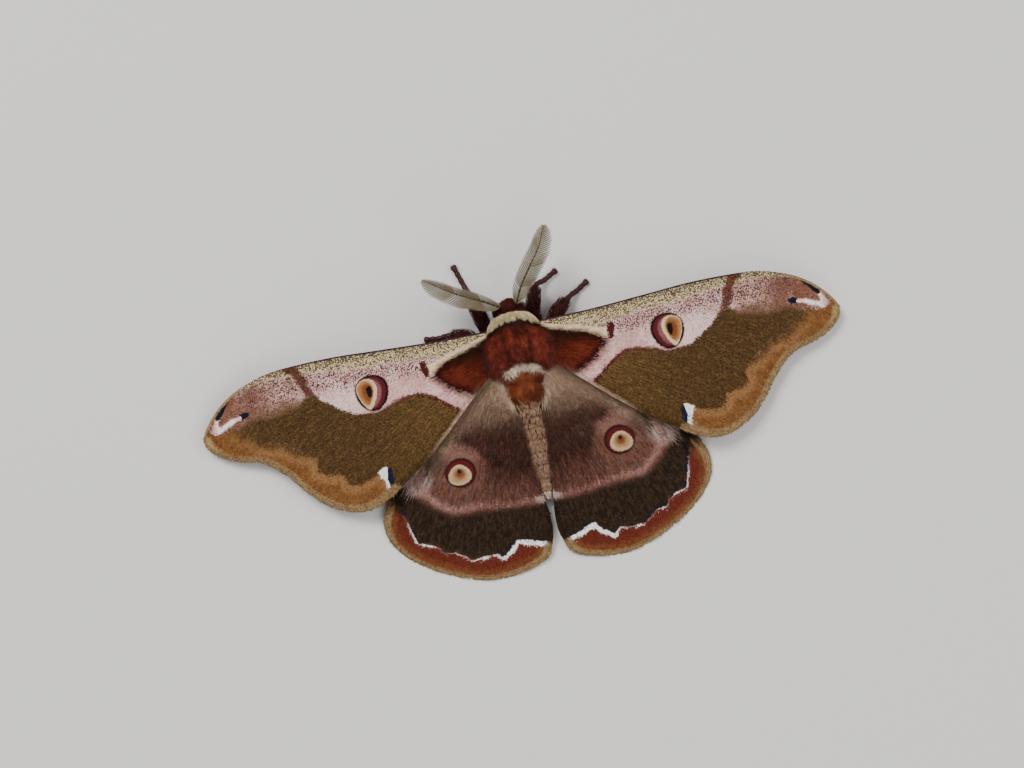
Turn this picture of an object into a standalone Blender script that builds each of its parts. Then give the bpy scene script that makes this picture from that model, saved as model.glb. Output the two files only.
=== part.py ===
"""A silk moth at rest with its wings spread, life size, as a museum would show it.

The head points to +Y, the wings spread along X, and the origin is on the floor under the middle
of the thorax. Every size below is in millimetres, and finish() scales each mesh to metres.
Each named object is one piece of the body. Pieces that grow from one another keep GAP between
their faces. The wings are drawn for the moth's right side and mirrored for its left.
"""

import math

import bmesh
import bpy
import numpy as np
from mathutils import Matrix, Vector

MM = 0.001
GAP = 0.3
RIGHT, LEFT = 1, -1
SIDE_NAMES = {RIGHT: "right", LEFT: "left"}

# The trunk is a row of cross-sections: place along Y, half width, half height, height of centre.
HEAD_SECTIONS = (
    (5.4, 1.9, 2.0, 4.55),
    (5.9, 2.15, 2.15, 4.45),
    (6.5, 2.1, 2.05, 4.25),
    (7.2, 1.7, 1.75, 4.0),
    (7.7, 0.9, 1.0, 3.8),
)
COLLAR_SECTIONS = (
    (5.1, 2.3, 2.4, 4.8),
    (4.85, 3.3, 3.2, 4.9),
    (4.45, 4.2, 3.9, 4.9),
    (3.9, 4.7, 4.3, 4.8),
    (3.5, 4.9, 4.4, 4.75),
)
THORAX_SECTIONS = (
    (3.1, 4.95, 4.5, 4.7),
    (1.7, 5.2, 4.8, 4.6),
    (0.0, 5.2, 4.85, 4.6),
    (-2.0, 5.0, 4.6, 4.6),
    (-3.6, 4.5, 4.1, 4.5),
    (-4.55, 3.9, 3.6, 4.4),
)
ABDOMEN_SECTIONS = (
    (-4.85, 3.4, 3.2, 4.3),
    (-7.0, 3.0, 2.9, 4.1),
    (-10.0, 2.4, 2.5, 3.7),
    (-14.0, 2.05, 2.15, 3.1),
    (-18.0, 1.7, 1.8, 2.5),
    (-21.0, 1.2, 1.3, 2.0),
    (-22.6, 0.5, 0.55, 1.7),
)
FRONT_BEND = 0.07
BEND_FROM, BEND_TO = -4.0, 3.9
TRUNK_SIDES = 20
ABDOMEN_SEGMENTS = 8
SEGMENT_LIP = 0.16

EYE_RADIUS = 1.0
EYE_PLACE = (1.7, 6.3, 4.5)

# Wing outlines, seen from above. The root end of each edge is set from the body's own width.
FOREWING_ROOT = ((3.3, 6.35), (-2.6, 6.35))
FOREWING_COSTA = (
    (12.5, 3.5), (21.5, 4.1), (27.0, 4.5), (32.2, 4.6), (37.6, 4.4), (41.5, 3.5),
    (44.6, 2.2), (47.2, 0.3), (49.2, -2.0), (50.0, -3.8),
)
FOREWING_OUTER = (
    (50.0, -3.8), (49.4, -5.4), (47.7, -6.9), (45.0, -8.1), (42.0, -8.8), (39.7, -10.2),
    (37.6, -12.3), (35.8, -14.6), (33.6, -16.8), (31.0, -18.4), (28.2, -19.2), (25.6, -19.0),
    (22.1, -17.4),
)
FOREWING_INNER = ((8.5, -6.6), (13.1, -10.8), (17.7, -14.5), (22.1, -17.4))
HINDWING_ROOT = ((-1.2, 4.7), (-4.4, 4.7))
HINDWING_COSTA = ((11.0, -4.0), (17.0, -8.5), (21.5, -13.5), (24.0, -18.6))
HINDWING_OUTER = (
    (24.0, -18.6), (25.3, -21.3), (25.3, -24.0), (24.0, -26.5), (21.4, -29.0), (17.8, -31.2),
    (14.0, -32.8), (10.6, -33.6), (7.2, -33.5), (3.9, -32.7), (2.0, -31.7), (1.2, -30.4),
)
HINDWING_BESIDE_ABDOMEN = (-5.4, -8.0, -12.0, -16.0, -20.0)
HINDWING_TAIL = ((0.95, -23.4), (0.35, -25.4), (0.4, -28.0), (1.2, -30.4))
MEMBRANE_HALF = 0.25
ROOT_HALF_HEIGHT = 0.55
RIDGE_UP, RIDGE_DOWN, RIDGE_HALF_WIDTH = 0.18, 0.08, 0.42
COSTA_SWELL = 0.22
# Veins: place across the wing from the front edge to the back, and how far out each one begins.
FOREWING_VEINS = (
    (0.08, 0.0), (0.19, 0.0), (0.31, 0.47), (0.43, 0.47), (0.55, 0.0), (0.68, 0.36),
    (0.80, 0.24), (0.92, 0.0),
)
HINDWING_VEINS = (
    (0.09, 0.0), (0.21, 0.0), (0.33, 0.42), (0.45, 0.42), (0.57, 0.0), (0.69, 0.30),
    (0.81, 0.18), (0.92, 0.0),
)
CELL_END = {"forewing": 0.47, "hindwing": 0.42}
CROSS_VEIN_HALF = 0.014
WING_ROWS = 13

# Feelers: points from the root to the tip, and the roll of the comb about its shaft, in degrees.
ANTENNA_ROOT = (6.4, 57.0)
ANTENNA_PATHS = {
    RIGHT: ((2.4, 8.7, 7.2), (4.3, 11.4, 7.5), (6.35, 14.2, 7.9), (7.8, 17.4, 8.1)),
    LEFT: ((-4.2, 8.1, 7.1), (-7.6, 9.8, 7.4), (-12.1, 12.8, 7.7)),
}
ANTENNA_ROLL = {RIGHT: 0.0, LEFT: -32.0}
SHAFT_RADII = (0.36, 0.34, 0.32, 0.3, 0.26, 0.18)
COMB_HALF_WIDTH = 2.05
COMB_PAIRS = 14
COMB_FROM, COMB_TO = 0.15, 0.965
BRANCH_RADII = (0.27, 0.27, 0.22, 0.09)
BRANCH_ANGLE, BRANCH_CURL = 58.0, 16.0

# Locks of long coat: length, width and thickness, and how far each stands off the body.
LOCK_SHAPE = (0.8, 1.0, 0.72, 0.14)
LOCK_RISE = (-0.55, 0.22, 0.42, 0.3)
# Tiers on the thorax: place, number of locks, and how low on its sides the tier reaches.
THORAX_TIERS = ((2.85, 6, 46), (1.8, 7, 42), (0.1, 7, 40), (-1.6, 7, 42), (-3.2, 7, 48))
THORAX_LOCK = (2.9, 2.0, 0.62)
SHOULDER_LOCKS = ((2.5, 47), (1.3, 44), (0.1, 44), (-1.1, 46))
SHOULDER_LOCK = (3.1, 1.7, 0.55)
COLLAR_TIERS = ((4.5, 7, 26),)
COLLAR_LOCK = (1.4, 1.6, 0.55)
TUFT_TIERS = ((5.85, 2, 80), (6.4, 3, 77))
TUFT_LOCK = (1.7, 0.75, 0.5)
ABDOMEN_TIERS = ((-5.6, 6, 30), (-7.4, 4, 45))
ABDOMEN_LOCK = (2.6, 1.5, 0.55)
TAIL_TIERS = ((-21.2, 4, 55),)
TAIL_LOCK = (1.9, 0.7, 0.5)
LEG_LOCK = (1.5, 0.9, 0.5)
LEG_LOCK_SHARES = (0.26, 0.36, 0.46)

# Legs: angle and place of the root on the trunk, then knee, ankle and toe.
LEG_PATHS = {
    "foreleg_right": (-42, 3.95, ((3.7, 6.2, 2.6), (4.8, 9.6, 1.9), (8.3, 11.7, 0.26))),
    "foreleg_left": (-42, 3.95, ((-4.6, 6.8, 2.6), (-5.2, 9.6, 1.7), (-7.0, 15.6, 0.26))),
    "midleg_right": (-30, 1.2, ((6.9, 4.4, 2.8), (9.6, 7.0, 1.5), (12.7, 9.0, 0.26))),
    "midleg_left": (-30, 1.2, ((-6.9, 3.6, 2.6), (-9.8, 4.9, 1.3), (-13.4, 5.2, 0.26))),
    "hindleg_right": (-34, -2.2, ((7.5, -4.6, 2.3), (9.6, -8.4, 1.3), (11.6, -12.4, 0.26))),
    "hindleg_left": (-34, -2.2, ((-7.5, -4.6, 2.3), (-9.6, -8.4, 1.3), (-11.6, -12.4, 0.26))),
}
LEG_RADII = (0.7, 0.75, 0.8, 0.85, 0.8, 0.62, 0.4, 0.36, 0.34, 0.32, 0.34)
LEG_SIDES = 8
LEG_RINGS = 13

# Colour, roughness and metallic value of each finish.
FINISHES = {
    "fur_maroon": ((0.105, 0.018, 0.010), 0.85, 0.0),
    "fur_cream": ((0.52, 0.46, 0.28), 0.85, 0.0),
    "fur_tan": ((0.30, 0.20, 0.12), 0.85, 0.0),
    "forewing_olive": ((0.17, 0.10, 0.028), 0.75, 0.0),
    "hindwing_rose": ((0.20, 0.11, 0.085), 0.75, 0.0),
    "antenna_buff": ((0.36, 0.29, 0.16), 0.7, 0.0),
    "leg_maroon": ((0.075, 0.012, 0.010), 0.8, 0.0),
    "eye_black": ((0.015, 0.010, 0.008), 0.15, 0.0),
}


def clear_scene():
    """Empties the scene before anything is built."""
    for old in list(bpy.data.objects):
        bpy.data.objects.remove(old)


def finish_material(name):
    """The Principled material of a named finish, made once."""
    found = bpy.data.materials.get(name)
    if found:
        return found
    colour, roughness, metallic = FINISHES[name]
    material = bpy.data.materials.new(name)
    material.use_nodes = True
    shader = material.node_tree.nodes["Principled BSDF"]
    shader.inputs["Base Color"].default_value = (*colour, 1.0)
    shader.inputs["Roughness"].default_value = roughness
    shader.inputs["Metallic"].default_value = metallic
    material.diffuse_color = (*colour, 1.0)
    return material


def add_object(name, bm):
    """A new object that holds the bmesh, with its faces turned outwards."""
    bmesh.ops.recalc_face_normals(bm, faces=bm.faces)
    mesh = bpy.data.meshes.new(name)
    bm.to_mesh(mesh)
    bm.free()
    obj = bpy.data.objects.new(name, mesh)
    bpy.context.scene.collection.objects.link(obj)
    return obj


def finish(obj, finish_name):
    """Scales a millimetre mesh to metres, shades it and gives it its material."""
    obj.data.transform(Matrix.Scale(MM, 4))
    obj.data.shade_smooth()
    obj.data.set_sharp_from_angle(angle=math.radians(40))
    obj.data.materials.clear()
    obj.data.materials.append(finish_material(finish_name))
    return obj


def along(points, shares):
    """Points at the given shares of the way along a smooth curve through the given points."""
    given = np.array(points, float)
    padded = np.vstack([2 * given[0] - given[1], given, 2 * given[-1] - given[-2]])
    chords = np.linalg.norm(np.diff(given, axis=0), axis=1)
    knots = np.concatenate([[0.0], np.cumsum(chords)])
    found = []
    for place in np.asarray(shares, float) * knots[-1]:
        i = int(np.clip(np.searchsorted(knots, place, side="right") - 1, 0, len(given) - 2))
        u = (place - knots[i]) / chords[i]
        a, b, c, d = padded[i : i + 4]
        bend = (2 * a - 5 * b + 4 * c - d) * u**2 + (3 * b - a - 3 * c + d) * u**3
        found.append(0.5 * (2 * b + (c - a) * u + bend))
    return np.array(found)


def sweep(rings):
    """A closed bmesh through rings of equal count: a disc whose end face is extruded on and on."""
    bm = bmesh.new()
    bmesh.ops.create_circle(bm, cap_ends=True, segments=len(rings[0]), radius=1.0)
    cap = next(iter(bm.faces))
    for vert, place in zip(cap.verts, rings[0]):
        vert.co = place
    for ring in rings[1:]:
        made = bmesh.ops.extrude_face_region(bm, geom=[cap, *cap.edges, *cap.verts])
        cap = next(g for g in made["geom"] if isinstance(g, bmesh.types.BMFace))
        for vert, place in zip(cap.verts, ring):
            vert.co = place
    bm.faces.ensure_lookup_table()
    bmesh.ops.poke(bm, faces=[f for f in bm.faces if len(f.verts) > 4])
    return bm


def ring_about(centre, across, up, half_width, half_height, sides):
    """An ellipse of points about a centre, in the plane of two unit vectors."""
    turns = [2 * math.pi * (k + 0.5) / sides for k in range(sides)]
    return [
        centre + across * (half_width * math.cos(a)) + up * (half_height * math.sin(a))
        for a in turns
    ]


def tube(path, radii, sides, first_direction=None, flatten=1.0, up_hint=Vector((0, 0, 1))):
    """A closed bmesh round a path. radii are read evenly along it, and flatten squashes its height."""
    points = [Vector(p) for p in path]
    last = len(points) - 1
    sizes = np.interp(np.linspace(0, 1, len(points)), np.linspace(0, 1, len(radii)), radii)
    rings = []
    for i, (point, radius) in enumerate(zip(points, sizes)):
        ahead = (points[min(i + 1, last)] - points[max(i - 1, 0)]).normalized()
        if i == 0 and first_direction is not None:
            ahead = first_direction
        across = ahead.cross(up_hint).normalized()
        up = across.cross(ahead).normalized()
        rings.append(ring_about(point, across, up, radius, radius * flatten, sides))
    return sweep(rings)


def cut_below_floor(bm):
    """Cuts off what reaches under the floor and leaves a flat there."""
    cut = bmesh.ops.bisect_plane(
        bm,
        geom=bm.verts[:] + bm.edges[:] + bm.faces[:],
        plane_co=(0, 0, 0),
        plane_no=(0, 0, -1),
        clear_outer=True,
    )
    rim = [g for g in cut["geom_cut"] if isinstance(g, bmesh.types.BMEdge)]
    if rim:
        bmesh.ops.holes_fill(bm, edges=rim)


def bend_at(place):
    """How strongly a cross-section bows back at its sides: most at the collar, none at the rear."""
    share = (place - BEND_FROM) / (BEND_TO - BEND_FROM)
    return FRONT_BEND * min(max(share, 0.0), 1.0) ** 0.5 if share > 0 else 0.0


def section_at(sections, place):
    """Half width, half height and centre height of the trunk at a place along it."""
    rows = sorted(sections)
    places = [row[0] for row in rows]
    return [float(np.interp(place, places, [row[k] for row in rows])) for k in (1, 2, 3)]


def trunk_point(sections, place, angle):
    """The point of the trunk's surface at a place and at an angle up from its right side."""
    half_width, half_height, centre = section_at(sections, place)
    x = half_width * math.cos(angle)
    return Vector((x, place - bend_at(place) * x * x, centre + half_height * math.sin(angle)))


def trunk_normal(sections, place, angle):
    """The outward normal of the trunk's surface there."""
    step = 0.05
    here = trunk_point(sections, place, angle)
    round_it = trunk_point(sections, place, angle + step) - here
    back = trunk_point(sections, place - step, angle) - here
    normal = back.cross(round_it).normalized()
    return -normal if normal.dot(here - Vector((0, here.y, 4.5))) < 0 else normal


def trunk_rings(sections, places):
    """Rings of surface points at each place along the trunk."""
    angles = [2 * math.pi * (k + 0.5) / TRUNK_SIDES for k in range(TRUNK_SIDES)]
    return [[trunk_point(sections, place, a) for a in angles] for place in places]


def smooth_sections(sections, count):
    """The same trunk with more cross-sections, on a smooth curve through the given ones."""
    return tuple(map(tuple, along(sections, np.linspace(0, 1, count))))


def trunk_piece(name, sections, count):
    """A stretch of the trunk between its first and last cross-sections."""
    fine = smooth_sections(sections, count)
    bm = sweep(trunk_rings(fine, [row[0] for row in fine]))
    cut_below_floor(bm)
    return add_object(name, bm)


def apply_boolean(obj, operation, operand, solver):
    """Applies one Boolean with an object or a collection, and leaves its result in obj."""
    modifier = obj.modifiers.new("join", "BOOLEAN")
    modifier.operation = operation
    modifier.solver = solver
    if isinstance(operand, bpy.types.Collection):
        modifier.operand_type = "COLLECTION"
        modifier.collection = operand
    else:
        modifier.object = operand
    graph = bpy.context.evaluated_depsgraph_get()
    made = bpy.data.meshes.new_from_object(obj.evaluated_get(graph))
    obj.modifiers.clear()
    obj.data = made


def keep_largest(obj):
    """Keeps only the closed surface with the most volume, with its faces turned outwards."""
    bm = bmesh.new()
    bm.from_mesh(obj.data)
    left = set(bm.verts)
    shells = []
    while left:
        shell, edge_of_it = set(), [left.pop()]
        while edge_of_it:
            vert = edge_of_it.pop()
            shell.add(vert)
            near = {e.other_vert(vert) for e in vert.link_edges} & left
            left -= near
            edge_of_it.extend(near)
        shells.append(shell)
    largest = max(shells, key=len)
    loose = [v for v in bm.verts if v not in largest]
    bmesh.ops.delete(bm, geom=loose, context="VERTS")
    bmesh.ops.triangulate(bm, faces=bm.faces)
    bmesh.ops.recalc_face_normals(bm, faces=bm.faces)
    bm.to_mesh(obj.data)
    bm.free()


def fuse(obj, pieces, solver="EXACT"):
    """Joins the pieces to obj with one union, then removes them."""
    group = bpy.data.collections.new("pieces")
    for piece in pieces:
        group.objects.link(piece)
    apply_boolean(obj, "UNION", group, solver)
    for piece in pieces:
        bpy.data.objects.remove(piece)
    bpy.data.collections.remove(group)
    keep_largest(obj)
    return obj


def lock(root, way, out, size):
    """A flat tapered lock of coat: it rises off its root along way, and bends back down."""
    length, width, thickness = size
    across = way.cross(out).normalized()
    steps = (0.0, 0.34, 0.7, 1.0)
    rings = []
    for share, wide, rise in zip(steps, LOCK_SHAPE, LOCK_RISE):
        centre = root + way * (length * share) + out * rise
        half, high = width * wide / 2, thickness * wide / 2
        sides = ((1, 0), (0, 1), (-1, 0), (0, -1))
        rings.append([centre + across * (half * a) + out * (high * b) for a, b in sides])
    return add_object("lock", sweep(rings))


def trunk_locks(sections, tiers, size, rng, forwards=False):
    """Tiers of locks on the trunk's upper side, that lie backwards, or forwards on the head."""
    locks = []
    for place, count, low in tiers:
        for k in range(count):
            degrees = low + (180 - 2 * low) * k / (count - 1) + rng.uniform(-2.5, 2.5)
            angle = math.radians(degrees)
            spot = place + rng.uniform(-0.2, 0.2)
            out = trunk_normal(sections, spot, angle)
            heading = Vector((0.28 * math.cos(angle), 1.0 if forwards else -1.0, 0.0))
            heading.x += rng.uniform(-0.08, 0.08)
            way = (heading - out * heading.dot(out)).normalized()
            grown = rng.uniform(0.88, 1.12)
            shape = (size[0] * grown, size[1] * rng.uniform(0.9, 1.1), size[2])
            locks.append(lock(trunk_point(sections, spot, angle), way, out, shape))
    return locks


def collar():
    """The cream collar behind the head, with its ruff of short locks."""
    obj = trunk_piece("collar", COLLAR_SECTIONS, 5)
    rng = np.random.default_rng(11)
    locks = trunk_locks(COLLAR_SECTIONS, COLLAR_TIERS, COLLAR_LOCK, rng)
    return finish(fuse(obj, locks), "fur_cream")


def thorax():
    """The thorax under its tiers of locks, and the locks that cover the wings' roots."""
    obj = trunk_piece("thorax", THORAX_SECTIONS, 10)
    rng = np.random.default_rng(21)
    locks = trunk_locks(THORAX_SECTIONS, THORAX_TIERS, THORAX_LOCK, rng)
    for place, degrees in SHOULDER_LOCKS:
        for angle in (math.radians(degrees), math.radians(180 - degrees)):
            root = trunk_point(THORAX_SECTIONS, place, angle)
            way = Vector((math.copysign(0.66, root.x), -0.75, 0.0)).normalized()
            locks.append(lock(root, way, Vector((0, 0, 1)), SHOULDER_LOCK))
    return finish(fuse(obj, locks), "fur_maroon")


def abdomen():
    """The abdomen: overlapping rings, each a little wider at its hind edge than the next one."""
    front, back = ABDOMEN_SECTIONS[0][0], ABDOMEN_SECTIONS[-1][0]
    fine = smooth_sections(ABDOMEN_SECTIONS, 30)
    length = (front - back) / ABDOMEN_SEGMENTS
    lipped = []
    for k in range(ABDOMEN_SEGMENTS):
        start = front - k * length
        for share, lip in ((0.0, 0.0), (0.5, 0.7), (0.9, 1.0)):
            place = start - share * length
            half_width, half_height, centre = section_at(fine, place)
            grow = SEGMENT_LIP * lip * (1 - 0.5 * k / ABDOMEN_SEGMENTS)
            lipped.append((place, half_width + grow, half_height + grow, centre))
    lipped.append((back, *section_at(fine, back)))
    obj = add_object("abdomen", sweep(trunk_rings(lipped, [row[0] for row in lipped])))
    rng = np.random.default_rng(31)
    locks = trunk_locks(ABDOMEN_SECTIONS, ABDOMEN_TIERS, ABDOMEN_LOCK, rng)
    locks += trunk_locks(ABDOMEN_SECTIONS, TAIL_TIERS, TAIL_LOCK, rng)
    return finish(fuse(obj, locks), "fur_tan")


def ball(centre, radius, segments=16, rings=10):
    """A closed sphere bmesh."""
    bm = bmesh.new()
    bmesh.ops.create_uvsphere(bm, u_segments=segments, v_segments=rings, radius=radius)
    bmesh.ops.translate(bm, verts=bm.verts, vec=Vector(centre))
    return bm


def head_and_eyes():
    """The head with a socket for each eye, and the two eyes seated in them."""
    fine = smooth_sections(HEAD_SECTIONS, 9)
    head = add_object("head", sweep(trunk_rings(fine, [row[0] for row in fine])))
    for side in (RIGHT, LEFT):
        centre = (side * EYE_PLACE[0], EYE_PLACE[1], EYE_PLACE[2])
        socket = add_object("socket", ball(centre, EYE_RADIUS + GAP))
        apply_boolean(head, "DIFFERENCE", socket, "EXACT")
        bpy.data.objects.remove(socket)
        eye = add_object(f"eye_{SIDE_NAMES[side]}", ball(centre, EYE_RADIUS))
        finish(eye, "eye_black")
    rng = np.random.default_rng(41)
    tuft = trunk_locks(HEAD_SECTIONS, TUFT_TIERS, TUFT_LOCK, rng, forwards=True)
    finish(fuse(head, tuft), "fur_maroon")


def flank(sections, place, height):
    """How far from the middle the trunk's side is at a place and a height."""
    half_width, half_height, centre = section_at(sections, place)
    above = max(abs(height - centre) - ROOT_HALF_HEIGHT, 0.0)
    level = min(above / half_height, 0.98)
    return half_width * math.sqrt(1 - level * level)


def root_edge(root, count=5):
    """The wing's inner edge, which follows the trunk's side at GAP from it."""
    (front, front_height), (back, back_height) = root
    trunk = smooth_sections((*COLLAR_SECTIONS, *THORAX_SECTIONS, *ABDOMEN_SECTIONS), 120)
    places = np.linspace(front, back, count)
    heights = np.linspace(front_height, back_height, count)
    clearance = GAP + 0.12
    return [(flank(trunk, y, z) + clearance, y) for y, z in zip(places, heights)]


def forewing_height(x, y):
    """Height of the forewing's middle surface: it falls to its tip and to its hind edge."""
    out, back = x - 5.3, 3.4 - y
    return 6.35 - 0.035 * out - 0.0011 * out**2 - 0.04 * back - 0.0022 * out * back


def hindwing_height(x, y):
    """Height of the hindwing's middle surface: it falls all round, down to the floor behind."""
    reach = math.hypot(x - 3.9, y + 3.0)
    return 4.7 - 0.045 * reach - 0.0034 * reach**2


class Wing:
    """One wing's outline as four edges, and the surface that they span."""

    def __init__(self, kind, root, costa, outer, inner, veins, height):
        """Joins the edges at the wing's corners."""
        self.kind = kind
        self.root = root_edge(root)
        self.costa = (self.root[0], *costa)
        self.outer = outer
        self.inner = (self.root[-1], *inner)
        self.veins = veins
        self.height = height

    def edges(self, s, t):
        """The costa and inner margin at share s out, and the root and outer margin at share t back."""
        return (
            along(self.costa, [s])[0],
            along(self.inner, [s])[0],
            along(self.root, [t])[0],
            along(self.outer, [t])[0],
        )

    def plan(self, s, t):
        """The place seen from above, s out from the root and t back from the costa."""
        front, back, root, outer = self.edges(s, t)
        corners = (
            (1 - s) * (1 - t) * np.array(self.costa[0])
            + (1 - s) * t * np.array(self.inner[0])
            + s * (1 - t) * np.array(self.costa[-1])
            + s * t * np.array(self.inner[-1])
        )
        return (1 - t) * front + t * back + (1 - s) * root + s * outer - corners

    def rows(self):
        """Shares out from the root, with three close ones where the cross vein ends the cell."""
        end = CELL_END[self.kind]
        even = [s for s in np.linspace(0, 1, WING_ROWS) if abs(s - end) > 0.035]
        return sorted(even + [end - CROSS_VEIN_HALF, end, end + CROSS_VEIN_HALF])

    def columns(self, s):
        """Shares back from the costa at s: the edges, and the foot, crest and foot of each vein."""
        front, back, _, _ = self.edges(s, 0.5)
        chord = float(np.linalg.norm(front - back))
        half = min(RIDGE_HALF_WIDTH / chord, 0.04)
        inner = [t + step for t, _ in self.veins for step in (-half, 0.0, half)]
        return [0.0, *inner, 1.0]

    def relief(self, s, column):
        """How far the surface stands proud there, as a share of a vein's full height."""
        vein, part = divmod(column - 1, 3)
        if column == 0 or vein >= len(self.veins):
            return 0.0
        start = self.veins[vein][1]
        crest = 1.0 if part == 1 and s >= start else 0.0
        in_cell = self.veins[1][0] <= self.columns(s)[column] <= self.veins[4][0]
        if in_cell and abs(s - CELL_END[self.kind]) < 1e-9:
            crest = 1.0
        return crest * (1 - 0.5 * s)

    def solid(self, side):
        """The wing as one closed membrane with its veins as ridges, on the given side."""
        rows = self.rows()
        width = 3 * len(self.veins) + 2
        bm = bmesh.new()
        bmesh.ops.create_grid(bm, x_segments=width - 1, y_segments=len(rows) - 1, size=0.5)
        bmesh.ops.triangulate(bm, faces=bm.faces, quad_method="FIXED")
        lower = list(bm.verts)
        made = bmesh.ops.extrude_face_region(bm, geom=bm.faces[:])
        upper = {g for g in made["geom"] if isinstance(g, bmesh.types.BMVert)}
        for vert in [*lower, *upper]:
            column = round((vert.co.x + 0.5) * (width - 1))
            s = rows[round((vert.co.y + 0.5) * (len(rows) - 1))]
            t = self.columns(s)[column]
            x, y = self.plan(s, t)
            middle = max(self.height(x, y), MEMBRANE_HALF)
            half = MEMBRANE_HALF + COSTA_SWELL * (1 - s) * math.exp(-((t / 0.1) ** 2))
            relief = self.relief(s, column)
            if vert in upper:
                z = middle + half + RIDGE_UP * relief
            else:
                z = max(middle - half - RIDGE_DOWN * relief, 0.0)
            vert.co = (side * x, y, z)
        name = f"{self.kind}_{SIDE_NAMES[side]}"
        colour = {"forewing": "forewing_olive", "hindwing": "hindwing_rose"}[self.kind]
        return finish(add_object(name, bm), colour)


def wings():
    """The four wings."""
    beside = [
        (section_at(ABDOMEN_SECTIONS, y)[0] + GAP + 0.1 + SEGMENT_LIP, y)
        for y in HINDWING_BESIDE_ABDOMEN
    ]
    fore = Wing(
        "forewing", FOREWING_ROOT, FOREWING_COSTA, FOREWING_OUTER, FOREWING_INNER,
        FOREWING_VEINS, forewing_height,
    )
    hind = Wing(
        "hindwing", HINDWING_ROOT, HINDWING_COSTA, HINDWING_OUTER, (*beside, *HINDWING_TAIL),
        HINDWING_VEINS, hindwing_height,
    )
    for wing in (fore, hind):
        for side in (RIGHT, LEFT):
            wing.solid(side)


def comb_profile(share):
    """Half width of the comb at a share of the shaft, as a leaf that is widest past its middle."""
    along_comb = (share - COMB_FROM) / (COMB_TO - COMB_FROM)
    return 0.3 + 0.7 * math.sin(math.pi * min(max(along_comb * 0.8 + 0.1, 0.0), 1.0)) ** 0.9


def antenna(side):
    """One feeler: a tapering shaft, with a comb of branches that lean to its tip on both sides."""
    place, degrees = ANTENNA_ROOT
    out = trunk_normal(HEAD_SECTIONS, place, math.radians(degrees))
    root = trunk_point(HEAD_SECTIONS, place, math.radians(degrees)) + out * (GAP + 0.05)
    out.x, root.x = out.x * side, root.x * side
    knots = (root, root + out * 0.45, *map(Vector, ANTENNA_PATHS[side]))
    path = along(knots, np.linspace(0, 1, 13))
    name = f"antenna_{SIDE_NAMES[side]}"
    shaft = add_object(name, tube(path, SHAFT_RADII, 8, first_direction=out))
    branches = []
    for share in np.linspace(COMB_FROM, COMB_TO, COMB_PAIRS):
        here, ahead = (Vector(p) for p in along(knots, (share, min(share + 0.02, 1.0))))
        forth = (ahead - here).normalized() if share < 0.98 else forth
        across = forth.cross(Vector((0, 0, 1))).normalized()
        across = Matrix.Rotation(math.radians(ANTENNA_ROLL[side]), 3, forth) @ across
        reach = COMB_HALF_WIDTH * comb_profile(share) / math.sin(math.radians(BRANCH_ANGLE))
        for hand in (1, -1):
            bent = [here]
            for step in range(3):
                lean = math.radians(BRANCH_ANGLE - BRANCH_CURL * step / 2)
                way = across * (hand * math.sin(lean)) + forth * math.cos(lean)
                bent.append(bent[-1] + way * (reach / 3))
            normal = across.cross(forth).normalized()
            branches.append(add_object("branch", tube(bent, BRANCH_RADII, 4, up_hint=normal)))
    return finish(fuse(shaft, branches), "antenna_buff")


def leg(name):
    """One leg: thick furry thigh and shin, and a thin foot that lies on the floor."""
    angle, place, joints = LEG_PATHS[name]
    side = RIGHT if name.endswith("right") else LEFT
    trunk = COLLAR_SECTIONS if name.startswith("fore") else THORAX_SECTIONS
    here = trunk_point(trunk, place, math.radians(angle))
    out = trunk_normal(trunk, place, math.radians(angle))
    root = here + out * GAP * 1.2
    root.x *= side
    out.x *= side
    knee, ankle, toe = (Vector(p) for p in joints)
    heel = ankle.lerp(toe, 0.45)
    heel.z = toe.z + 0.15
    knots = [root, root + out * 0.8, knee, ankle, heel, toe]
    path = along(knots, np.linspace(0, 1, LEG_RINGS))
    bm = tube(path, LEG_RADII, LEG_SIDES, first_direction=out)
    cut_below_floor(bm)
    obj = add_object(name, bm)
    if not name.startswith("hind"):
        fuse(obj, shin_locks(knots))
    return finish(obj, "leg_maroon")


def shin_locks(knots):
    """Locks on both sides of a shin, that lie towards its foot."""
    locks = []
    for share in LEG_LOCK_SHARES:
        here, ahead = (Vector(p) for p in along(knots, (share, share + 0.05)))
        forth = (ahead - here).normalized()
        across = forth.cross(Vector((0, 0, 1))).normalized()
        for hand in (1, -1):
            out = (across * hand * 0.85 + Vector((0, 0, 0.5))).normalized()
            way = (forth + out * 0.12).normalized()
            locks.append(lock(here + out * 0.62, way, out, LEG_LOCK))
    return locks


def main():
    """Builds the moth."""
    clear_scene()
    collar()
    thorax()
    abdomen()
    head_and_eyes()
    wings()
    for side in (RIGHT, LEFT):
        antenna(side)
    for name in LEG_PATHS:
        leg(name)


main()
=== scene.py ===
"""A still silk moth with its wings spread flat: scaled wings, fur, feathered feelers, legs, eyes.

Every size is in millimetres in the row frame, and each piece's mesh is scaled to metres at its end.
The wings are drawn for the moth's right side, and mirrored for its left.
"""

import logging
import math
from dataclasses import dataclass, field, replace
from enum import Enum
from functools import reduce
from typing import Iterable, Sequence, Union

import bmesh
import bpy
import numpy as np
from mathutils import Matrix, Vector
from mathutils.kdtree import KDTree


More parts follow.
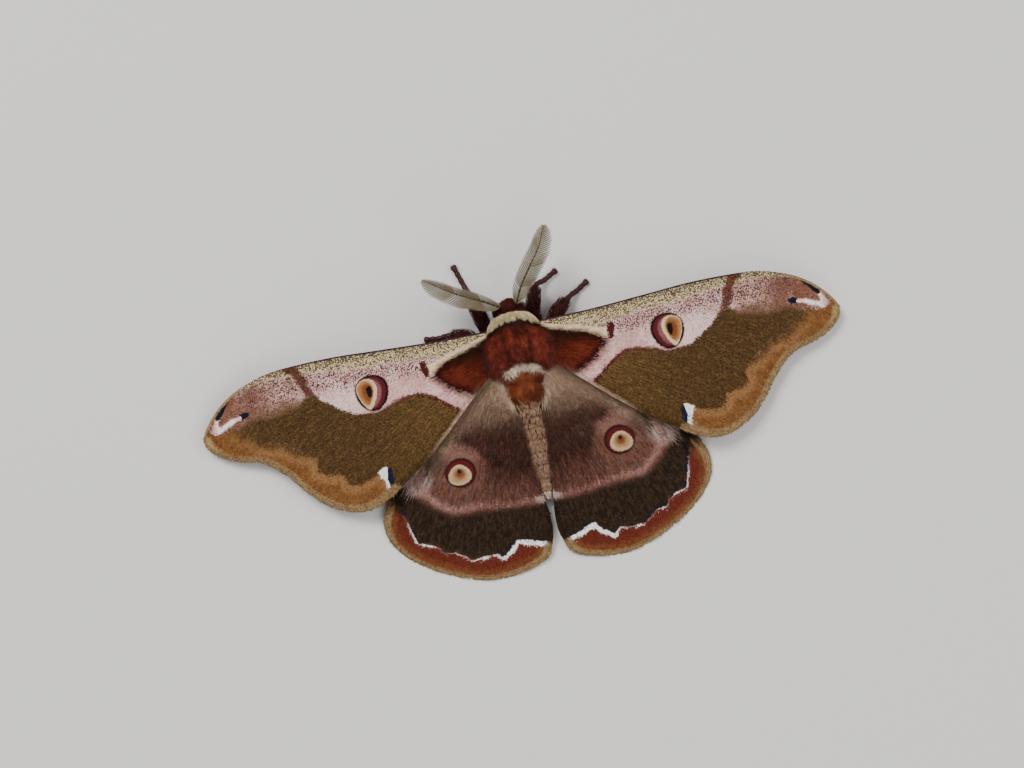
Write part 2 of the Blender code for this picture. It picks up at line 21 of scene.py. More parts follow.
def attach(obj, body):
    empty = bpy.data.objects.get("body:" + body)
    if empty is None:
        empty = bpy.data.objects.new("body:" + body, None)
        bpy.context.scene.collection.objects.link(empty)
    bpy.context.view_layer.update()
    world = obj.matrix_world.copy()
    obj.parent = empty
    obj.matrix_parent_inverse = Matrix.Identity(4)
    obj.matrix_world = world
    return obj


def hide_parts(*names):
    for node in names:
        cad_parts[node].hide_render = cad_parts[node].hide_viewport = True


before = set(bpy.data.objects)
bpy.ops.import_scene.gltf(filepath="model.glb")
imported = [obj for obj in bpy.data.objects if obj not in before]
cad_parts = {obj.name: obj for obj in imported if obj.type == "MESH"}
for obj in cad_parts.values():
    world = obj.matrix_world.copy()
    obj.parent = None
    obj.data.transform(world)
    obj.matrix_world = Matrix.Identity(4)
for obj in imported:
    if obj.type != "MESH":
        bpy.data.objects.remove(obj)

LOG = logging.getLogger("silk_moth")
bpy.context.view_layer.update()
MM = 0.001
TAU = 2 * math.pi
TINY = 1e-12
BAKE_MAP = "OFBake"
# No tuft reaches past these places, which lie just inside the solids' box.
LOW = (-49.97, -33.6, 0.03)
HIGH = (49.97, 18.1, 10.2)

Spot = tuple[float, float]
Colour = tuple[float, float, float]
Path = Sequence[tuple[float, ...]]
BMesh = bmesh.types.BMesh
Mesh = bpy.types.Mesh
Piece = bpy.types.Object
Material = bpy.types.Material
Array = np.ndarray
Chance = np.random.Generator
Socket = bpy.types.NodeSocket
Value = Union[Socket, float]
Paint = Union[Socket, Colour]
Inputs = dict[Union[str, int], Union[Value, Paint]]
Outputs = bpy.types.bpy_prop_collection


class Side(Enum):
    """The moth's own right or left, and the sign of X there."""

    RIGHT = 1
    LEFT = -1

    @property
    def word(self) -> str:
        """The side's name, as it stands in the nodes' names."""
        return self.name.lower()


class WingKind(Enum):
    """Which of a side's two wings."""

    FORE = "forewing"
    HIND = "hindwing"


# Curves and measures


def curve_at(points: Path, shares: Array) -> Array:
    """Finds places on a smooth curve through the given points.

    Args:
        points: the points that the curve goes through.
        shares: how far along the curve each place is, from 0 to 1.

    Returns:
        One row for each share.
    """
    given = np.array(points, float)
    padded = np.vstack([2 * given[0] - given[1], given, 2 * given[-1] - given[-2]])
    chords = np.linalg.norm(np.diff(given, axis=0), axis=1)
    knots = np.concatenate([[0.0], np.cumsum(chords)])
    places = np.asarray(shares, float) * knots[-1]
    i = np.clip(np.searchsorted(knots, places, side="right") - 1, 0, len(given) - 2)
    u = ((places - knots[i]) / chords[i])[:, None]
    a, b, c, d = (padded[i + k] for k in range(4))
    bend = (2 * a - 5 * b + 4 * c - d) * u**2 + (3 * b - a - 3 * c + d) * u**3
    return 0.5 * (2 * b + (c - a) * u + bend)


def smooth(points: Path, count: int = 60) -> Array:
    """Reads a smooth curve through the given points at even shares."""
    return curve_at(points, np.linspace(0, 1, count))


def line_distance(spots: Array, line: Path) -> Array:
    """Measures how far each spot is from a line of straight stretches, in its plane.

    Args:
        spots: places seen from above, in millimetres.
        line: the line's corners.

    Returns:
        A distance for each spot.
    """
    nearest = np.full(len(spots), np.inf)
    corners = np.array(line, float)
    for start, end in zip(corners[:-1], corners[1:]):
        stretch = end - start
        length = max(float(stretch @ stretch), TINY)
        share = np.clip((spots - start) @ stretch / length, 0, 1)
        away = np.linalg.norm(spots - (start + share[:, None] * stretch), axis=1)
        nearest = np.minimum(nearest, away)
    return nearest


def depth_inside(spots: Array, outline: Path) -> Array:
    """Measures how deep each spot is inside a closed outline, below zero where it is outside.

    Args:
        spots: places seen from above, in millimetres.
        outline: the outline's corners.

    Returns:
        A depth for each spot.
    """
    corners = np.array(outline, float)
    inside = np.zeros(len(spots), bool)
    for (ax, ay), (bx, by) in zip(corners, np.roll(corners, -1, axis=0)):
        crosses = (ay > spots[:, 1]) != (by > spots[:, 1])
        at = ax + (spots[:, 1] - ay) * (bx - ax) / (by - ay if by != ay else TINY)
        inside ^= crosses & (spots[:, 0] < at)
    distance = line_distance(spots, np.vstack([corners, corners[:1]]))
    return np.where(inside, distance, -distance)


def unit(vectors: Array) -> Array:
    """Scales each row to length 1."""
    return vectors / np.maximum(np.linalg.norm(vectors, axis=-1, keepdims=True), TINY)


def beside(ways: Array) -> tuple[Array, Array]:
    """Finds the level direction across each given one, and the direction up from both."""
    across = unit(np.cross(ways, (0.0, 0.0, 1.0)))
    return across, np.cross(across, ways)


def round_about(turns: Array, first: Array, second: Array) -> Array:
    """Turns from the first direction towards the second, by an angle for each row."""
    return np.cos(turns)[:, None] * first + np.sin(turns)[:, None] * second


def read_along(values: Sequence[float], shares: Array) -> Array:
    """Reads values that stand evenly from share 0 to share 1."""
    return np.interp(shares, np.linspace(0, 1, len(values)), values)


def ease(values: Array, low: float, high: float) -> Array:
    """Rises smoothly from 0 at low to 1 at high."""
    share = np.clip((values - low) / (high - low), 0, 1)
    return share * share * (3 - 2 * share)


# Meshes


def sweep(rings: Sequence[Array], point: bool = False) -> BMesh:
    """Draws out a disc through rings of equal count, into one closed skin.

    Args:
        rings: the rings' points, in order.
        point: whether the last ring closes in one point.

    Returns:
        The closed bmesh.
    """
    bm = bmesh.new()
    bmesh.ops.create_circle(bm, cap_ends=True, segments=len(rings[0]), radius=1.0)
    cap = next(iter(bm.faces))
    for vert, place in zip(cap.verts, rings[0]):
        vert.co = place
    for ring in rings[1:]:
        made = bmesh.ops.extrude_face_region(bm, geom=[cap, *cap.edges, *cap.verts])
        cap = next(g for g in made["geom"] if isinstance(g, bmesh.types.BMFace))
        for vert, place in zip(cap.verts, ring):
            vert.co = place
    if point:
        bmesh.ops.pointmerge(bm, verts=list(cap.verts), merge_co=Vector(np.mean(rings[-1], axis=0)))
    return bm


def tube(path: Array, radii: Sequence[float], sides: int, point: bool = False) -> BMesh:
    """Draws a round skin about a path.

    Args:
        path: the points of its middle line.
        radii: radii read evenly along the path.
        sides: the number of points round it.
        point: whether it ends in a point.

    Returns:
        The closed bmesh.
    """
    path = np.asarray(path, float)
    ahead = unit(np.gradient(path, axis=0))
    sizes = read_along(radii, np.linspace(0, 1, len(path)))
    turns = TAU * (np.arange(sides) + 0.5) / sides
    rings = [p + r * round_about(turns, a, u) for p, r, a, u in zip(path, sizes, *beside(ahead))]
    return sweep(rings, point)


def mesh_of(name: str, bm: BMesh) -> Mesh:
    """Turns a bmesh into a mesh, and frees it.

    Args:
        name: its name.
        bm: the bmesh.

    Returns:
        The mesh.
    """
    mesh = bpy.data.meshes.new(name)
    bm.to_mesh(mesh)
    bm.free()
    return mesh


def places_of(mesh: Mesh) -> Array:
    """Reads the place of each point of a mesh.

    Args:
        mesh: the mesh.

    Returns:
        A row for each point.
    """
    flat = np.empty(len(mesh.vertices) * 3)
    mesh.vertices.foreach_get("co", flat)
    return flat.reshape(-1, 3)


def joined(parts: Iterable[BMesh]) -> BMesh:
    """Puts several bmeshes into one, and frees them.

    Args:
        parts: the bmeshes.

    Returns:
        The whole.
    """
    whole = bmesh.new()
    for part in parts:
        mesh = mesh_of("part", part)
        whole.from_mesh(mesh)
        bpy.data.meshes.remove(mesh)
    return whole


def make_object(name: str, bm: BMesh, finish: Material) -> Piece:
    """Turns a millimetre bmesh into an object in metres, smooth and facing outwards."""
    bmesh.ops.recalc_face_normals(bm, faces=bm.faces)
    return place_mesh(name, mesh_of(name, bm), finish)


def place_mesh(name: str, mesh: Mesh, finish: Material) -> Piece:
    """Scales a millimetre mesh to metres and puts it in the scene with its finish.

    Args:
        name: its name.
        mesh: the mesh.
        finish: its material.

    Returns:
        The piece.
    """
    mesh.transform(Matrix.Scale(MM, 4))
    mesh.shade_smooth()
    mesh.materials.append(finish)
    piece = bpy.data.objects.new(name, mesh)
    bpy.context.scene.collection.objects.link(piece)
    return piece


def settle(piece: Piece, slot: str, nodes: Sequence[str] = ()) -> Piece:
    """Rides a piece on the moth, hides the nodes that it stands for, and logs it with its slot.

    Args:
        piece: the piece.
        slot: the record's material slot.
        nodes: the nodes' names.

    Returns:
        The piece.
    """
    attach(piece, "root")
    if nodes:
        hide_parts(*nodes)
    LOG.info("%s: %d faces, slot %s", piece.name, len(piece.data.polygons), slot)
    return piece


def set_vectors(mesh: Mesh, name: str, values: Array) -> None:
    """Writes a vector for each point of a mesh as a named attribute."""
    attribute = mesh.attributes.new(name, "FLOAT_VECTOR", "POINT")
    attribute.data.foreach_set("vector", values.astype(np.float32).ravel())


def set_uv(mesh: Mesh, name: str, values: Array) -> None:
    """Writes a UV map from a value for each point of a mesh.

    Args:
        mesh: the mesh.
        name: its name.
        values: a row for each point.
    """
    corners = np.empty(len(mesh.loops), np.int32)
    mesh.loops.foreach_get("vertex_index", corners)
    layer = mesh.uv_layers.new(name=name)
    layer.uv.foreach_set("vector", values[corners].astype(np.float32).ravel())


# Surfaces that coats grow on


class Surface:
    """A surface over two shares, u and v, each from 0 to 1."""

    def at(self, u: Array, v: Array) -> Array:
        """Places on the surface."""
        raise NotImplementedError

    def frame_at(self, u: Array, v: Array) -> tuple[Array, Array, Array]:
        """Places on the surface, its outward normals, and its directions of growing u.

        Args:
            u: shares along the surface.
            v: shares across or round it.

        Returns:
            The three, with a row for each place.
        """
        step = 0.002
        here = self.at(u, v)
        along_u = unit(self.at(u + step, v) - self.at(u - step, v))
        along_v = unit(self.at(u, v + step) - self.at(u, v - step))
        return here, unit(np.cross(along_u, along_v)), along_u


# Coats: tufts of hair and scales, as one mesh each


@dataclass(frozen=True)
class TuftShape:
    """The shape that all tufts of a coat share: how wide it is at each share of its length."""

    widths: tuple[float, ...] = (0.85, 0.85)
    steps: tuple[float, ...] = (0.0, 0.5)
    flatness: float = 0.5

    def template(self) -> tuple[Array, Array]:
        """Draws one tuft of length and width 1.

        Returns:
            Its points, and its triangles as indices into them.
        """
        turns = TAU * np.arange(3) / 3 + math.pi / 2
        rings = [
            np.column_stack([w / 2 * np.cos(turns), w / 2 * self.flatness * np.sin(turns), np.full(3, z)])
            for w, z in zip((*self.widths, 0.02), (*self.steps, 1.0))
        ]
        bm = sweep(rings, point=True)
        bmesh.ops.triangulate(bm, faces=bm.faces)
        bmesh.ops.recalc_face_normals(bm, faces=bm.faces)
        bm.verts.index_update()
        points = np.array([v.co for v in bm.verts])
        faces = np.array([[v.index for v in f.verts] for f in bm.faces])
        bm.free()
        return points, faces


LOCK = TuftShape()
SCALE = TuftShape(widths=(0.7, 1.0), steps=(0.0, 0.6), flatness=0.22)
HAIR = TuftShape(widths=(0.8, 0.6), steps=(0.0, 0.5), flatness=0.7)
TRESS = TuftShape(widths=(0.8, 0.65), steps=(0.0, 0.55), flatness=0.6)


@dataclass
class Coat:
    """Tufts to be grown together as one piece. Each array has a row for each tuft."""

    name: str
    roots: Array
    normals: Array
    ways: Array
    unwrap: Array
    length: Array
    width: Array
    lift: Array
    shape: TuftShape = LOCK
    seed: int = 1
    sink: float = 0.08
    patch: float = 0.003
    lock: float = 0.0
    pull: float = 0.6
    droop: float = 1.9
    vectors: dict[str, Array] = field(default_factory=dict)
    maps: dict[str, Array] = field(default_factory=dict)

    def gather(self, rng: Chance) -> Array:
        """Draws the tips of neighbouring tufts together into locks.

        Args:
            rng: the source of chance.

        Returns:
            A chance value for each tuft, alike within a lock.
        """
        count = len(self.roots)
        chance = rng.random(count)
        if not self.lock:
            return chance
        leaders = rng.choice(count, max(int(count / self.lock), 1), replace=False)
        tree = KDTree(len(leaders))
        for place, leader in enumerate(leaders):
            tree.insert(Vector(self.roots[leader]), place)
        tree.balance()
        own = leaders[[tree.find(Vector(root))[1] for root in self.roots]]
        tips = self.roots + unit(self.ways) * self.length[:, None]
        tips = tips + (tips[own] - tips) * (self.pull * rng.uniform(0.7, 1.0, count))[:, None]
        self.ways = tips - self.roots
        self.length = np.linalg.norm(self.ways, axis=1)
        return 0.45 * chance + 0.55 * chance[own]

    def mesh(self) -> Mesh:
        """Copies the one tuft to every root, bent along its way, with its colours' attributes.

        Returns:
            The mesh.
        """
        points, faces = self.shape.template()
        rng = np.random.default_rng(self.seed)
        chance = self.gather(rng)
        count, corners = len(self.roots), len(points)
        ways = unit(self.ways - self.normals * np.sum(self.ways * self.normals, axis=1, keepdims=True))
        across = np.cross(ways, self.normals)
        share = points[:, 2]
        rise = np.sin(share * self.droop)
        sway = rng.normal(0, 0.16, count)
        place = self.roots[:, None, :] - self.sink * self.normals[:, None, :]
        place = place + (self.length[:, None] * share)[..., None] * ways[:, None, :]
        place = place + (self.width[:, None] * points[:, 0])[..., None] * across[:, None, :]
        up = self.width[:, None] * points[:, 1] + self.lift[:, None] * rise
        place = place + up[..., None] * self.normals[:, None, :]
        swing = sway[:, None] * self.length[:, None] * share**2
        place = place + swing[..., None] * across[:, None, :]
        place = np.clip(place, LOW, HIGH)
        mesh = bpy.data.meshes.new(self.name)
        mesh.vertices.add(count * corners)
        mesh.vertices.foreach_set("co", place.astype(np.float32).ravel())
        index = (np.arange(count)[:, None, None] * corners + faces[None]).astype(np.int32)
        mesh.loops.add(index.size)
        mesh.loops.foreach_set("vertex_index", index.ravel())
        mesh.polygons.add(index.size // 3)
        mesh.polygons.foreach_set("loop_start", np.arange(0, index.size, 3, dtype=np.int32))
        mesh.update(calc_edges=True)
        cell = np.column_stack([points[:, 0] + 0.5, share]) * self.patch
        uv = (self.unwrap[:, None, :] + cell[None]).reshape(-1, 2)
        set_uv(mesh, BAKE_MAP, uv)
        hair = np.stack(np.broadcast_arrays(chance[:, None], share[None], sway[:, None]), axis=-1)
        set_vectors(mesh, "hair", hair.reshape(-1, 3))
        for name, values in self.vectors.items():
            set_vectors(mesh, name, np.repeat(values, corners, axis=0))
        for name, values in self.maps.items():
            set_uv(mesh, name, np.repeat(values, corners, axis=0))
        return mesh

    def grow(self, finish: Material, slot: str) -> Piece:
        """Makes the coat's piece and settles it."""
        return settle(place_mesh(self.name, self.mesh(), finish), slot)


# Materials


class Shader:
    """A node-based material, built up by painting one layer of colour over another."""

    def __init__(self, name: str, roughness: float, base: Colour) -> None:
        """Starts a material.

        Args:
            name: the finish's name.
            roughness: how matt it is.
            base: the colour under all layers.
        """
        self.material = bpy.data.materials.new(name)
        self.material.use_nodes = True
        self.tree = self.material.node_tree
        self.surface = self.tree.nodes["Principled BSDF"]
        self.surface.inputs["Roughness"].default_value = roughness
        self.material.diffuse_color = (*base, 1.0)
        self.colour: Paint = base

    def put(self, value: Union[Value, Paint], socket: Socket) -> None:
        """Links a socket's value, or sets it where it is constant."""
        if isinstance(value, Socket):
            self.tree.links.new(value, socket)
        elif isinstance(value, tuple) and len(value) == 3 and socket.type == "RGBA":
            socket.default_value = (*value, 1.0)
        else:
            socket.default_value = value

    def node(self, kind: str, values: Inputs, **settings: object) -> Outputs:
        """Adds a node.

        Args:
            kind: the node's type.
            values: what goes into its sockets, by their names or numbers.
            settings: its options.

        Returns:
            Its outputs.
        """
        made = self.tree.nodes.new(kind)
        for key, value in settings.items():
            setattr(made, key, value)
        for key, value in values.items():
            self.put(value, made.inputs[key])
        return made.outputs

    def math(self, operation: str, first: Value, second: Value = 0.0) -> Socket:
        """Works out one sum."""
        return self.node("ShaderNodeMath", {0: first, 1: second}, operation=operation)[0]

    def total(self, *values: Value) -> Socket:
        """Adds several values."""
        return reduce(lambda whole, value: self.math("ADD", whole, value), values)

    def times(self, *values: Value) -> Socket:
        """Multiplies several values."""
        return reduce(lambda whole, value: self.math("MULTIPLY", whole, value), values)

    def parts(self, vector: Socket) -> tuple[Socket, ...]:
        """Takes a vector apart."""
        return tuple(self.node("ShaderNodeSeparateXYZ", {0: vector}))

    def marks(self, name: str) -> tuple[Socket, ...]:
        """Reads the three values of a vector that the mesh holds."""
        return self.parts(self.node("ShaderNodeAttribute", {}, attribute_name=name)["Vector"])

    def scaled(self, vector: Socket, scale: Colour) -> Socket:
        """Scales a vector on each axis."""
        return self.node("ShaderNodeVectorMath", {0: vector, 1: scale}, operation="MULTIPLY")[0]

    def millimetres(self) -> Socket:
        """Object coordinates in millimetres."""
        return self.scaled(self.node("ShaderNodeTexCoord", {})["Object"], (1 / MM, 1 / MM, 1 / MM))

    def noise(self, vector: Socket, scale: float, detail: float = 2.0, rough: float = 0.5) -> Socket:
        """A smooth noise about 0.5."""
        values = {"Vector": vector, "Scale": scale, "Detail": detail, "Roughness": rough}
        return self.node("ShaderNodeTexNoise", values)["Fac"]

    def cells(self, vector: Socket, scale: float) -> tuple[Socket, Socket]:
        """Cells like small plates: the distance to each one's middle, and its own chance value."""
        made = self.node("ShaderNodeTexVoronoi", {"Vector": vector, "Scale": scale})
        return made["Distance"], self.parts(made["Color"])[0]

    def step(self, value: Value, edge: float, soft: float) -> Socket:
        """0 below the edge and 1 above it, with a soft rise of width soft on both sides."""
        values = {"Value": value, "From Min": edge - soft, "From Max": edge + soft}
        return self.node("ShaderNodeMapRange", values, interpolation_type="SMOOTHSTEP")["Result"]

    def below(self, value: Value, edge: float, soft: float) -> Socket:
        """1 below the edge and 0 above it."""
        return self.math("SUBTRACT", 1.0, self.step(value, edge, soft))

    def between(self, value: Value, low: float, high: float, soft: float) -> Socket:
        """1 between two edges."""
        return self.times(self.step(value, low, soft), self.below(value, high, soft))

    def mix(self, share: Value, first: Paint, second: Paint) -> Socket:
        """Mixes two colours."""
        return self.node("ShaderNodeMix", {"Factor": share, 6: first, 7: second}, data_type="RGBA")[2]

    def paint(self, colour: Paint, *shares: Value) -> None:
        """Paints a colour over what is there, by the product of its shares."""
        self.colour = self.mix(self.times(*shares), self.colour, colour)

    def shade(self, factor: Value, low: float, high: float) -> None:
        """Darkens and lightens the colour: low where the factor is 0, and high where it is 1.

        Args:
            factor: a share for each place.
            low: the scale where it is 0.
            high: the scale where it is 1.
        """
        values = {"Value": factor, "To Min": low, "To Max": high}
        scale = self.node("ShaderNodeMapRange", values)["Result"]
        values = {0: self.colour, "Scale": scale}
        self.colour = self.node("ShaderNodeVectorMath", values, operation="SCALE")[0]

    def bump(self, height: Value, strength: float, distance: float) -> None:
        """Raises the surface by a height, in millimetres of distance."""
        values = {"Strength": strength, "Distance": distance * MM, "Height": height}
        self.put(self.node("ShaderNodeBump", values)[0], self.surface.inputs["Normal"])

    def done(self, specular: float = 0.25, sheen: float = 0.0) -> Material:
        """Finishes the material.

        Args:
            specular: how strongly it mirrors light.
            sheen: how strongly it glows at its edges.

        Returns:
            The material.
        """
        self.put(self.colour, self.surface.inputs["Base Color"])
        self.surface.inputs["Sheen Weight"].default_value = sheen
        self.surface.inputs["Specular IOR Level"].default_value = specular
        return self.material


@dataclass(frozen=True)
class FurFinish:
    """Fur whose hairs go from one colour at their roots to another at their tips."""

    name: str
    root: Colour
    tip: Colour
    other: Colour
    spread: float = 0.35
    streaks: float = 0.8
    # places across the body of the grooves where shade is painted
    grooves: tuple[float, ...] = ()
    bars: tuple[float, ...] = ()
    # where the painted shadow behind the collar starts, along the body
    dusky_from: float = 100.0

    def material(self) -> Material:
        """Builds the fur's material from each hair's chance value and its share of length.

        Returns:
            The material.
        """
        shader = Shader(self.name, 0.75, self.tip)
        chance, share, _ = shader.marks("hair")
        place = shader.millimetres()
        broad = shader.noise(shader.scaled(place, (0.60, 0.32, 0.4)), 1.0, 3.0)
        fine = shader.noise(shader.scaled(place, (2.4, 0.8, 1.4)), 1.0, 2.0)
        shader.colour = shader.mix(shader.step(share, 0.40, 0.4), self.root, self.tip)
        shader.paint(self.other, shader.step(broad, 0.50, 0.08), self.streaks)
        shader.paint(self.other, shader.step(fine, 0.54, 0.10), self.streaks, 0.7)
        self.seams(shader, broad)
        shader.shade(chance, 1 - self.spread, 1 + self.spread)
        return shader.done(specular=0.10, sheen=0.03)

    def seams(self, shader: Shader, broad: Socket) -> None:
        """Paints shade into the grooves along the body, darkens the bars across it, and paints the
        collar's shadow on the fur in front of a line.

        Args:
            shader: the material being built.
            broad: a broad noise.
        """
        x, y, _ = shader.parts(shader.millimetres())
        wobble = shader.times(shader.total(broad, -0.5), 3.4)
        beside = shader.total(shader.math("ABSOLUTE", x), wobble)
        depth = shader.total(0.25, shader.times(shader.step(broad, 0.47, 0.12), 0.55))
        for middle in self.grooves:
            # painted shade in the grooves between the crest and the shoulder flaps
            groove = shader.between(beside, middle - 0.45, middle + 0.45, 0.6)
            shader.paint(self.root, groove, depth)
        if self.grooves:
            self.parting(shader, shader.total(x, shader.times(wobble, 0.45)), y)
        along = shader.total(y, shader.times(wobble, 0.3))
        for middle in self.bars:
            ring = shader.between(along, middle - 0.13, middle + 0.13, 0.16)
            shader.paint(self.root, ring, 0.7)
        along = shader.total(along, shader.times(x, x, 0.06))
        # painted shadow of the collar on the fur in front of the line
        shader.paint(self.root, shader.step(along, self.dusky_from, 1.1), 0.9)

    def parting(self, shader: Shader, x: Socket, y: Socket) -> None:
        """Paints shade into the parting in the fur behind the collar, and a painted highlight on the
        ridge beside it.

        Args:
            shader: the fur's material.
            x: the place across the body in millimetres, made wavy.
            y: the place along the body in millimetres.
        """
        # painted shade in the parting
        shader.paint(self.root, shader.between(x, 0.05, 0.60, 0.35), shader.step(y, 0.6, 1.2), 0.85)
        beside_it, lit = shader.between(x, -1.15, -0.45, 0.35), shader.between(y, 0.0, 3.0, 0.9)
        # painted highlight: the tip colour made brighter on the ridge
        shader.paint(tuple(1.45 * part for part in self.tip), beside_it, lit, 0.55)


@dataclass(frozen=True)
class SkinFinish:
    """The skin under the coat: dark between the hairs."""

    name: str
    colour: Colour
    roughness: float = 0.8

    def material(self) -> Material:
        """Builds the skin's material, with a fine pitted grain.

        Returns:
            The material.
        """
        shader = Shader(self.name, self.roughness, self.colour)
        place = shader.millimetres()
        grain = shader.noise(place, 6.0, 3.0)
        shader.shade(grain, 0.6, 1.4)
        shader.bump(grain, 0.5, 0.05)
        return shader.done()


@dataclass(frozen=True)
class Oval:
    """One oval mark: its middle, its half width and height, and how much its lower end narrows."""

    middle: tuple[float, float]
    half: tuple[float, float]
    colour: Colour = (0.0, 0.0, 0.0)
    soft: float = 0.06
    share: float = 1.0
    egg: float = 0.0

    def inside(self, shader: Shader, x: Value, y: Value) -> Socket:
        """1 inside the oval and 0 outside it.

        Args:
            shader: the material being built.
            x: the place from the wing's base, in millimetres.
            y: the place along the body.

        Returns:
            The share's socket.
        """
        x, y = shader.total(x, -self.middle[0]), shader.total(y, -self.middle[1])
        if self.egg:
            x = shader.math("DIVIDE", x, shader.total(1.0, shader.times(y, self.egg)))
        x, y = shader.times(x, 1 / self.half[0]), shader.times(y, 1 / self.half[1])
        away = shader.math("SQRT", shader.total(shader.times(x, x), shader.times(y, y)))
        return shader.below(away, 1.0, self.soft)


@dataclass(frozen=True)
class Eyespot:
    """A ringed mark on a wing, of ovals laid over one another, whose places are from its middle."""

    middle: tuple[float, float]
    ovals: tuple[Oval, ...]

    def lay_on(self, shader: Shader) -> None:
        """Paints the ovals, the largest first, with slightly ragged edges.

        Args:
            shader: the material being built.
        """
        ragged = shader.times(shader.total(shader.noise(shader.millimetres(), 4.0, 2.0), -0.5), 0.34)
        x, y, _ = shader.marks("plan")
        x, y = shader.total(x, -self.middle[0], ragged), shader.total(y, -self.middle[1], ragged)
        for oval in self.ovals:
            shader.paint(oval.colour, oval.inside(shader, x, y), oval.share)


# Wings

FOREWING_COSTA = (
    (12.5, 3.5), (21.5, 4.1), (27.0, 4.5), (32.2, 4.6), (37.6, 4.4), (41.5, 3.5),
    (44.6, 2.2), (47.2, 0.3), (49.2, -2.0), (50.0, -3.8),
)
FOREWING_OUTER = (
    (50.0, -3.8), (49.4, -5.4), (47.7, -6.9), (45.0, -8.1), (42.0, -8.8), (39.7, -10.2),
    (37.6, -12.3), (35.8, -14.6), (33.6, -16.8), (31.0, -18.4), (28.2, -19.2), (25.6, -19.0),
    (22.1, -17.4),
)
FOREWING_INNER = ((8.5, -6.6), (13.1, -10.8), (17.7, -14.5), (22.1, -17.4))
HINDWING_COSTA = ((11.0, -4.0), (17.0, -8.5), (21.5, -13.5), (24.0, -18.6))
HINDWING_OUTER = (
    (24.0, -18.6), (25.3, -21.3), (25.3, -24.0), (24.0, -26.5), (21.4, -29.0), (17.8, -31.2),
    (14.0, -32.8), (10.6, -33.6), (7.2, -33.5), (3.9, -32.7), (2.0, -31.7), (1.2, -30.4),
)
HINDWING_INNER = (
    (2.8, -5.4), (2.4, -8.0), (1.8, -12.0), (1.5, -16.0), (1.1, -20.0),
    (0.6, -23.4), (0.35, -25.4), (0.4, -28.0), (1.2, -30.4),
)

FIELD_INNER = (
    (9.9, -7.7), (11.3, -6.8), (12.8, -5.6), (14.4, -4.4), (16.2, -3.8), (18.2, -3.9), (20.5, -4.4),
    (22.1, -5.0), (24.0, -5.0), (26.3, -4.5), (28.0, -3.4), (29.6, -2.3), (31.0, -1.0), (32.4, -0.4),
)
FIELD_TOP = ((34.4, -1.2), (36.3, -1.1), (38.6, -1.8), (41.5, -1.6), (43.0, -1.8), (44.6, -2.9))
FIELD_OUTER = (
    (44.3, -3.9), (43.2, -4.8), (42.2, -5.3), (41.2, -6.2), (39.4, -6.8), (37.8, -7.1), (36.9, -8.0),
    (35.7, -8.8), (34.3, -9.4), (33.1, -9.7), (33.1, -11.0), (33.2, -12.0), (31.6, -12.9),
    (29.4, -13.1), (29.2, -14.2), (28.6, -15.0), (27.5, -15.1), (25.7, -14.7), (24.2, -14.2),
    (22.8, -13.6),
)
FIELD = (*FIELD_INNER, *FIELD_TOP, *FIELD_OUTER, (22.8, -18.5), (18.0, -15.5), (13.0, -11.5))
OCHRE = (
    (44.6, -2.9), *FIELD_OUTER, (23.2, -15.6), (23.3, -18.5), (28.0, -21.0), (52.0, -12.0),
    (52.0, -2.0), (48.6, -1.4), (48.4, -3.0), (46.5, -3.4),
)
BASAL_PATCH = (
    (2.0, 2.6), (7.0, 1.1), (9.8, 0.4), (11.5, -0.4), (13.0, -1.6), (11.2, -3.5), (9.0, -4.7),
    (6.6, -5.7), (4.0, -6.8), (2.0, -6.0),
)
CREAM_LINE = (
    (3.0, 3.2), (7.0, 2.0), (9.9, 1.4), (12.2, 0.5), (13.9, 0.3), (13.8, -0.7), (13.4, -1.7),
    (11.5, -0.4), (9.8, 0.4), (7.0, 1.1), (3.0, 2.4),
)
KNOB = ((14.0, 0.9), (15.0, 0.8), (15.0, -0.2), (14.5, -1.5), (13.7, -1.9), (13.8, -0.6))
COSTAL_STRIP = (
    (2.0, 6.0), (50.0, 6.0), (46.0, 2.4), (43.0, 2.6), (38.6, 3.4), (32.2, 3.0), (27.0, 2.4),
    (22.6, 1.9), (14.7, 1.3), (12.0, 0.8), (9.9, 1.2), (7.0, 1.7), (2.0, 3.0),
)
COSTAL_BAND = (
    (34.5, 5.5), (35.9, 5.5), (35.3, 4.2), (34.1, 3.0), (33.6, 1.8), (33.1, 0.4), (32.4, -0.5),
    (31.0, -1.0), (31.6, -0.2), (32.2, 0.6), (32.5, 2.0), (33.2, 3.4),
)
APEX_BLACK = (
    (43.6, 2.75), (45.0, 2.35), (46.1, 1.4), (47.2, -0.2), (47.3, -0.8), (46.8, -0.9), (46.0, -0.1),
    (45.2, 0.9), (44.4, 1.9),
)
APEX_WHITE = (
    (43.2, -1.0), (45.0, -1.25), (46.6, -2.0), (47.2, -1.9), (46.9, -1.2), (46.8, -0.7), (47.2, -0.5),
    (47.7, -1.3), (48.0, -2.1), (47.8, -2.9), (47.2, -2.95), (46.2, -2.6), (44.7, -1.85), (43.3, -1.45),
)
APEX_DASH = (
    (41.8, -0.8), (42.6, -0.6), (43.6, -0.75), (43.3, -1.2), (43.2, -1.6), (42.5, -1.5), (42.0, -1.2),
)
TORNUS_WHITE = (
    (22.8, -13.3), (23.5, -13.5), (24.4, -14.0), (23.8, -15.0), (23.35, -16.2), (23.2, -17.6),
    (22.8, -16.7), (23.05, -15.1),
)
TORNUS_BLUE = ((22.2, -13.7), (22.8, -13.5), (23.2, -15.1), (22.9, -16.9), (22.1, -15.6))
POSTMEDIAN = (
    (18.0, -14.8), (18.9, -16.4), (18.4, -18.0), (17.2, -19.6), (15.0, -21.5), (12.8, -21.9),
    (10.4, -22.0), (6.7, -22.6), (3.1, -22.9), (0.6, -22.6), (-0.5, -22.6),
)
BAND_EDGE = (
    (21.2, -15.3), (20.3, -17.6), (17.5, -20.5), (14.9, -22.2), (10.6, -22.6), (6.3, -22.95),
    (3.0, -23.2), (0.3, -22.9), (-1.0, -22.9),
)
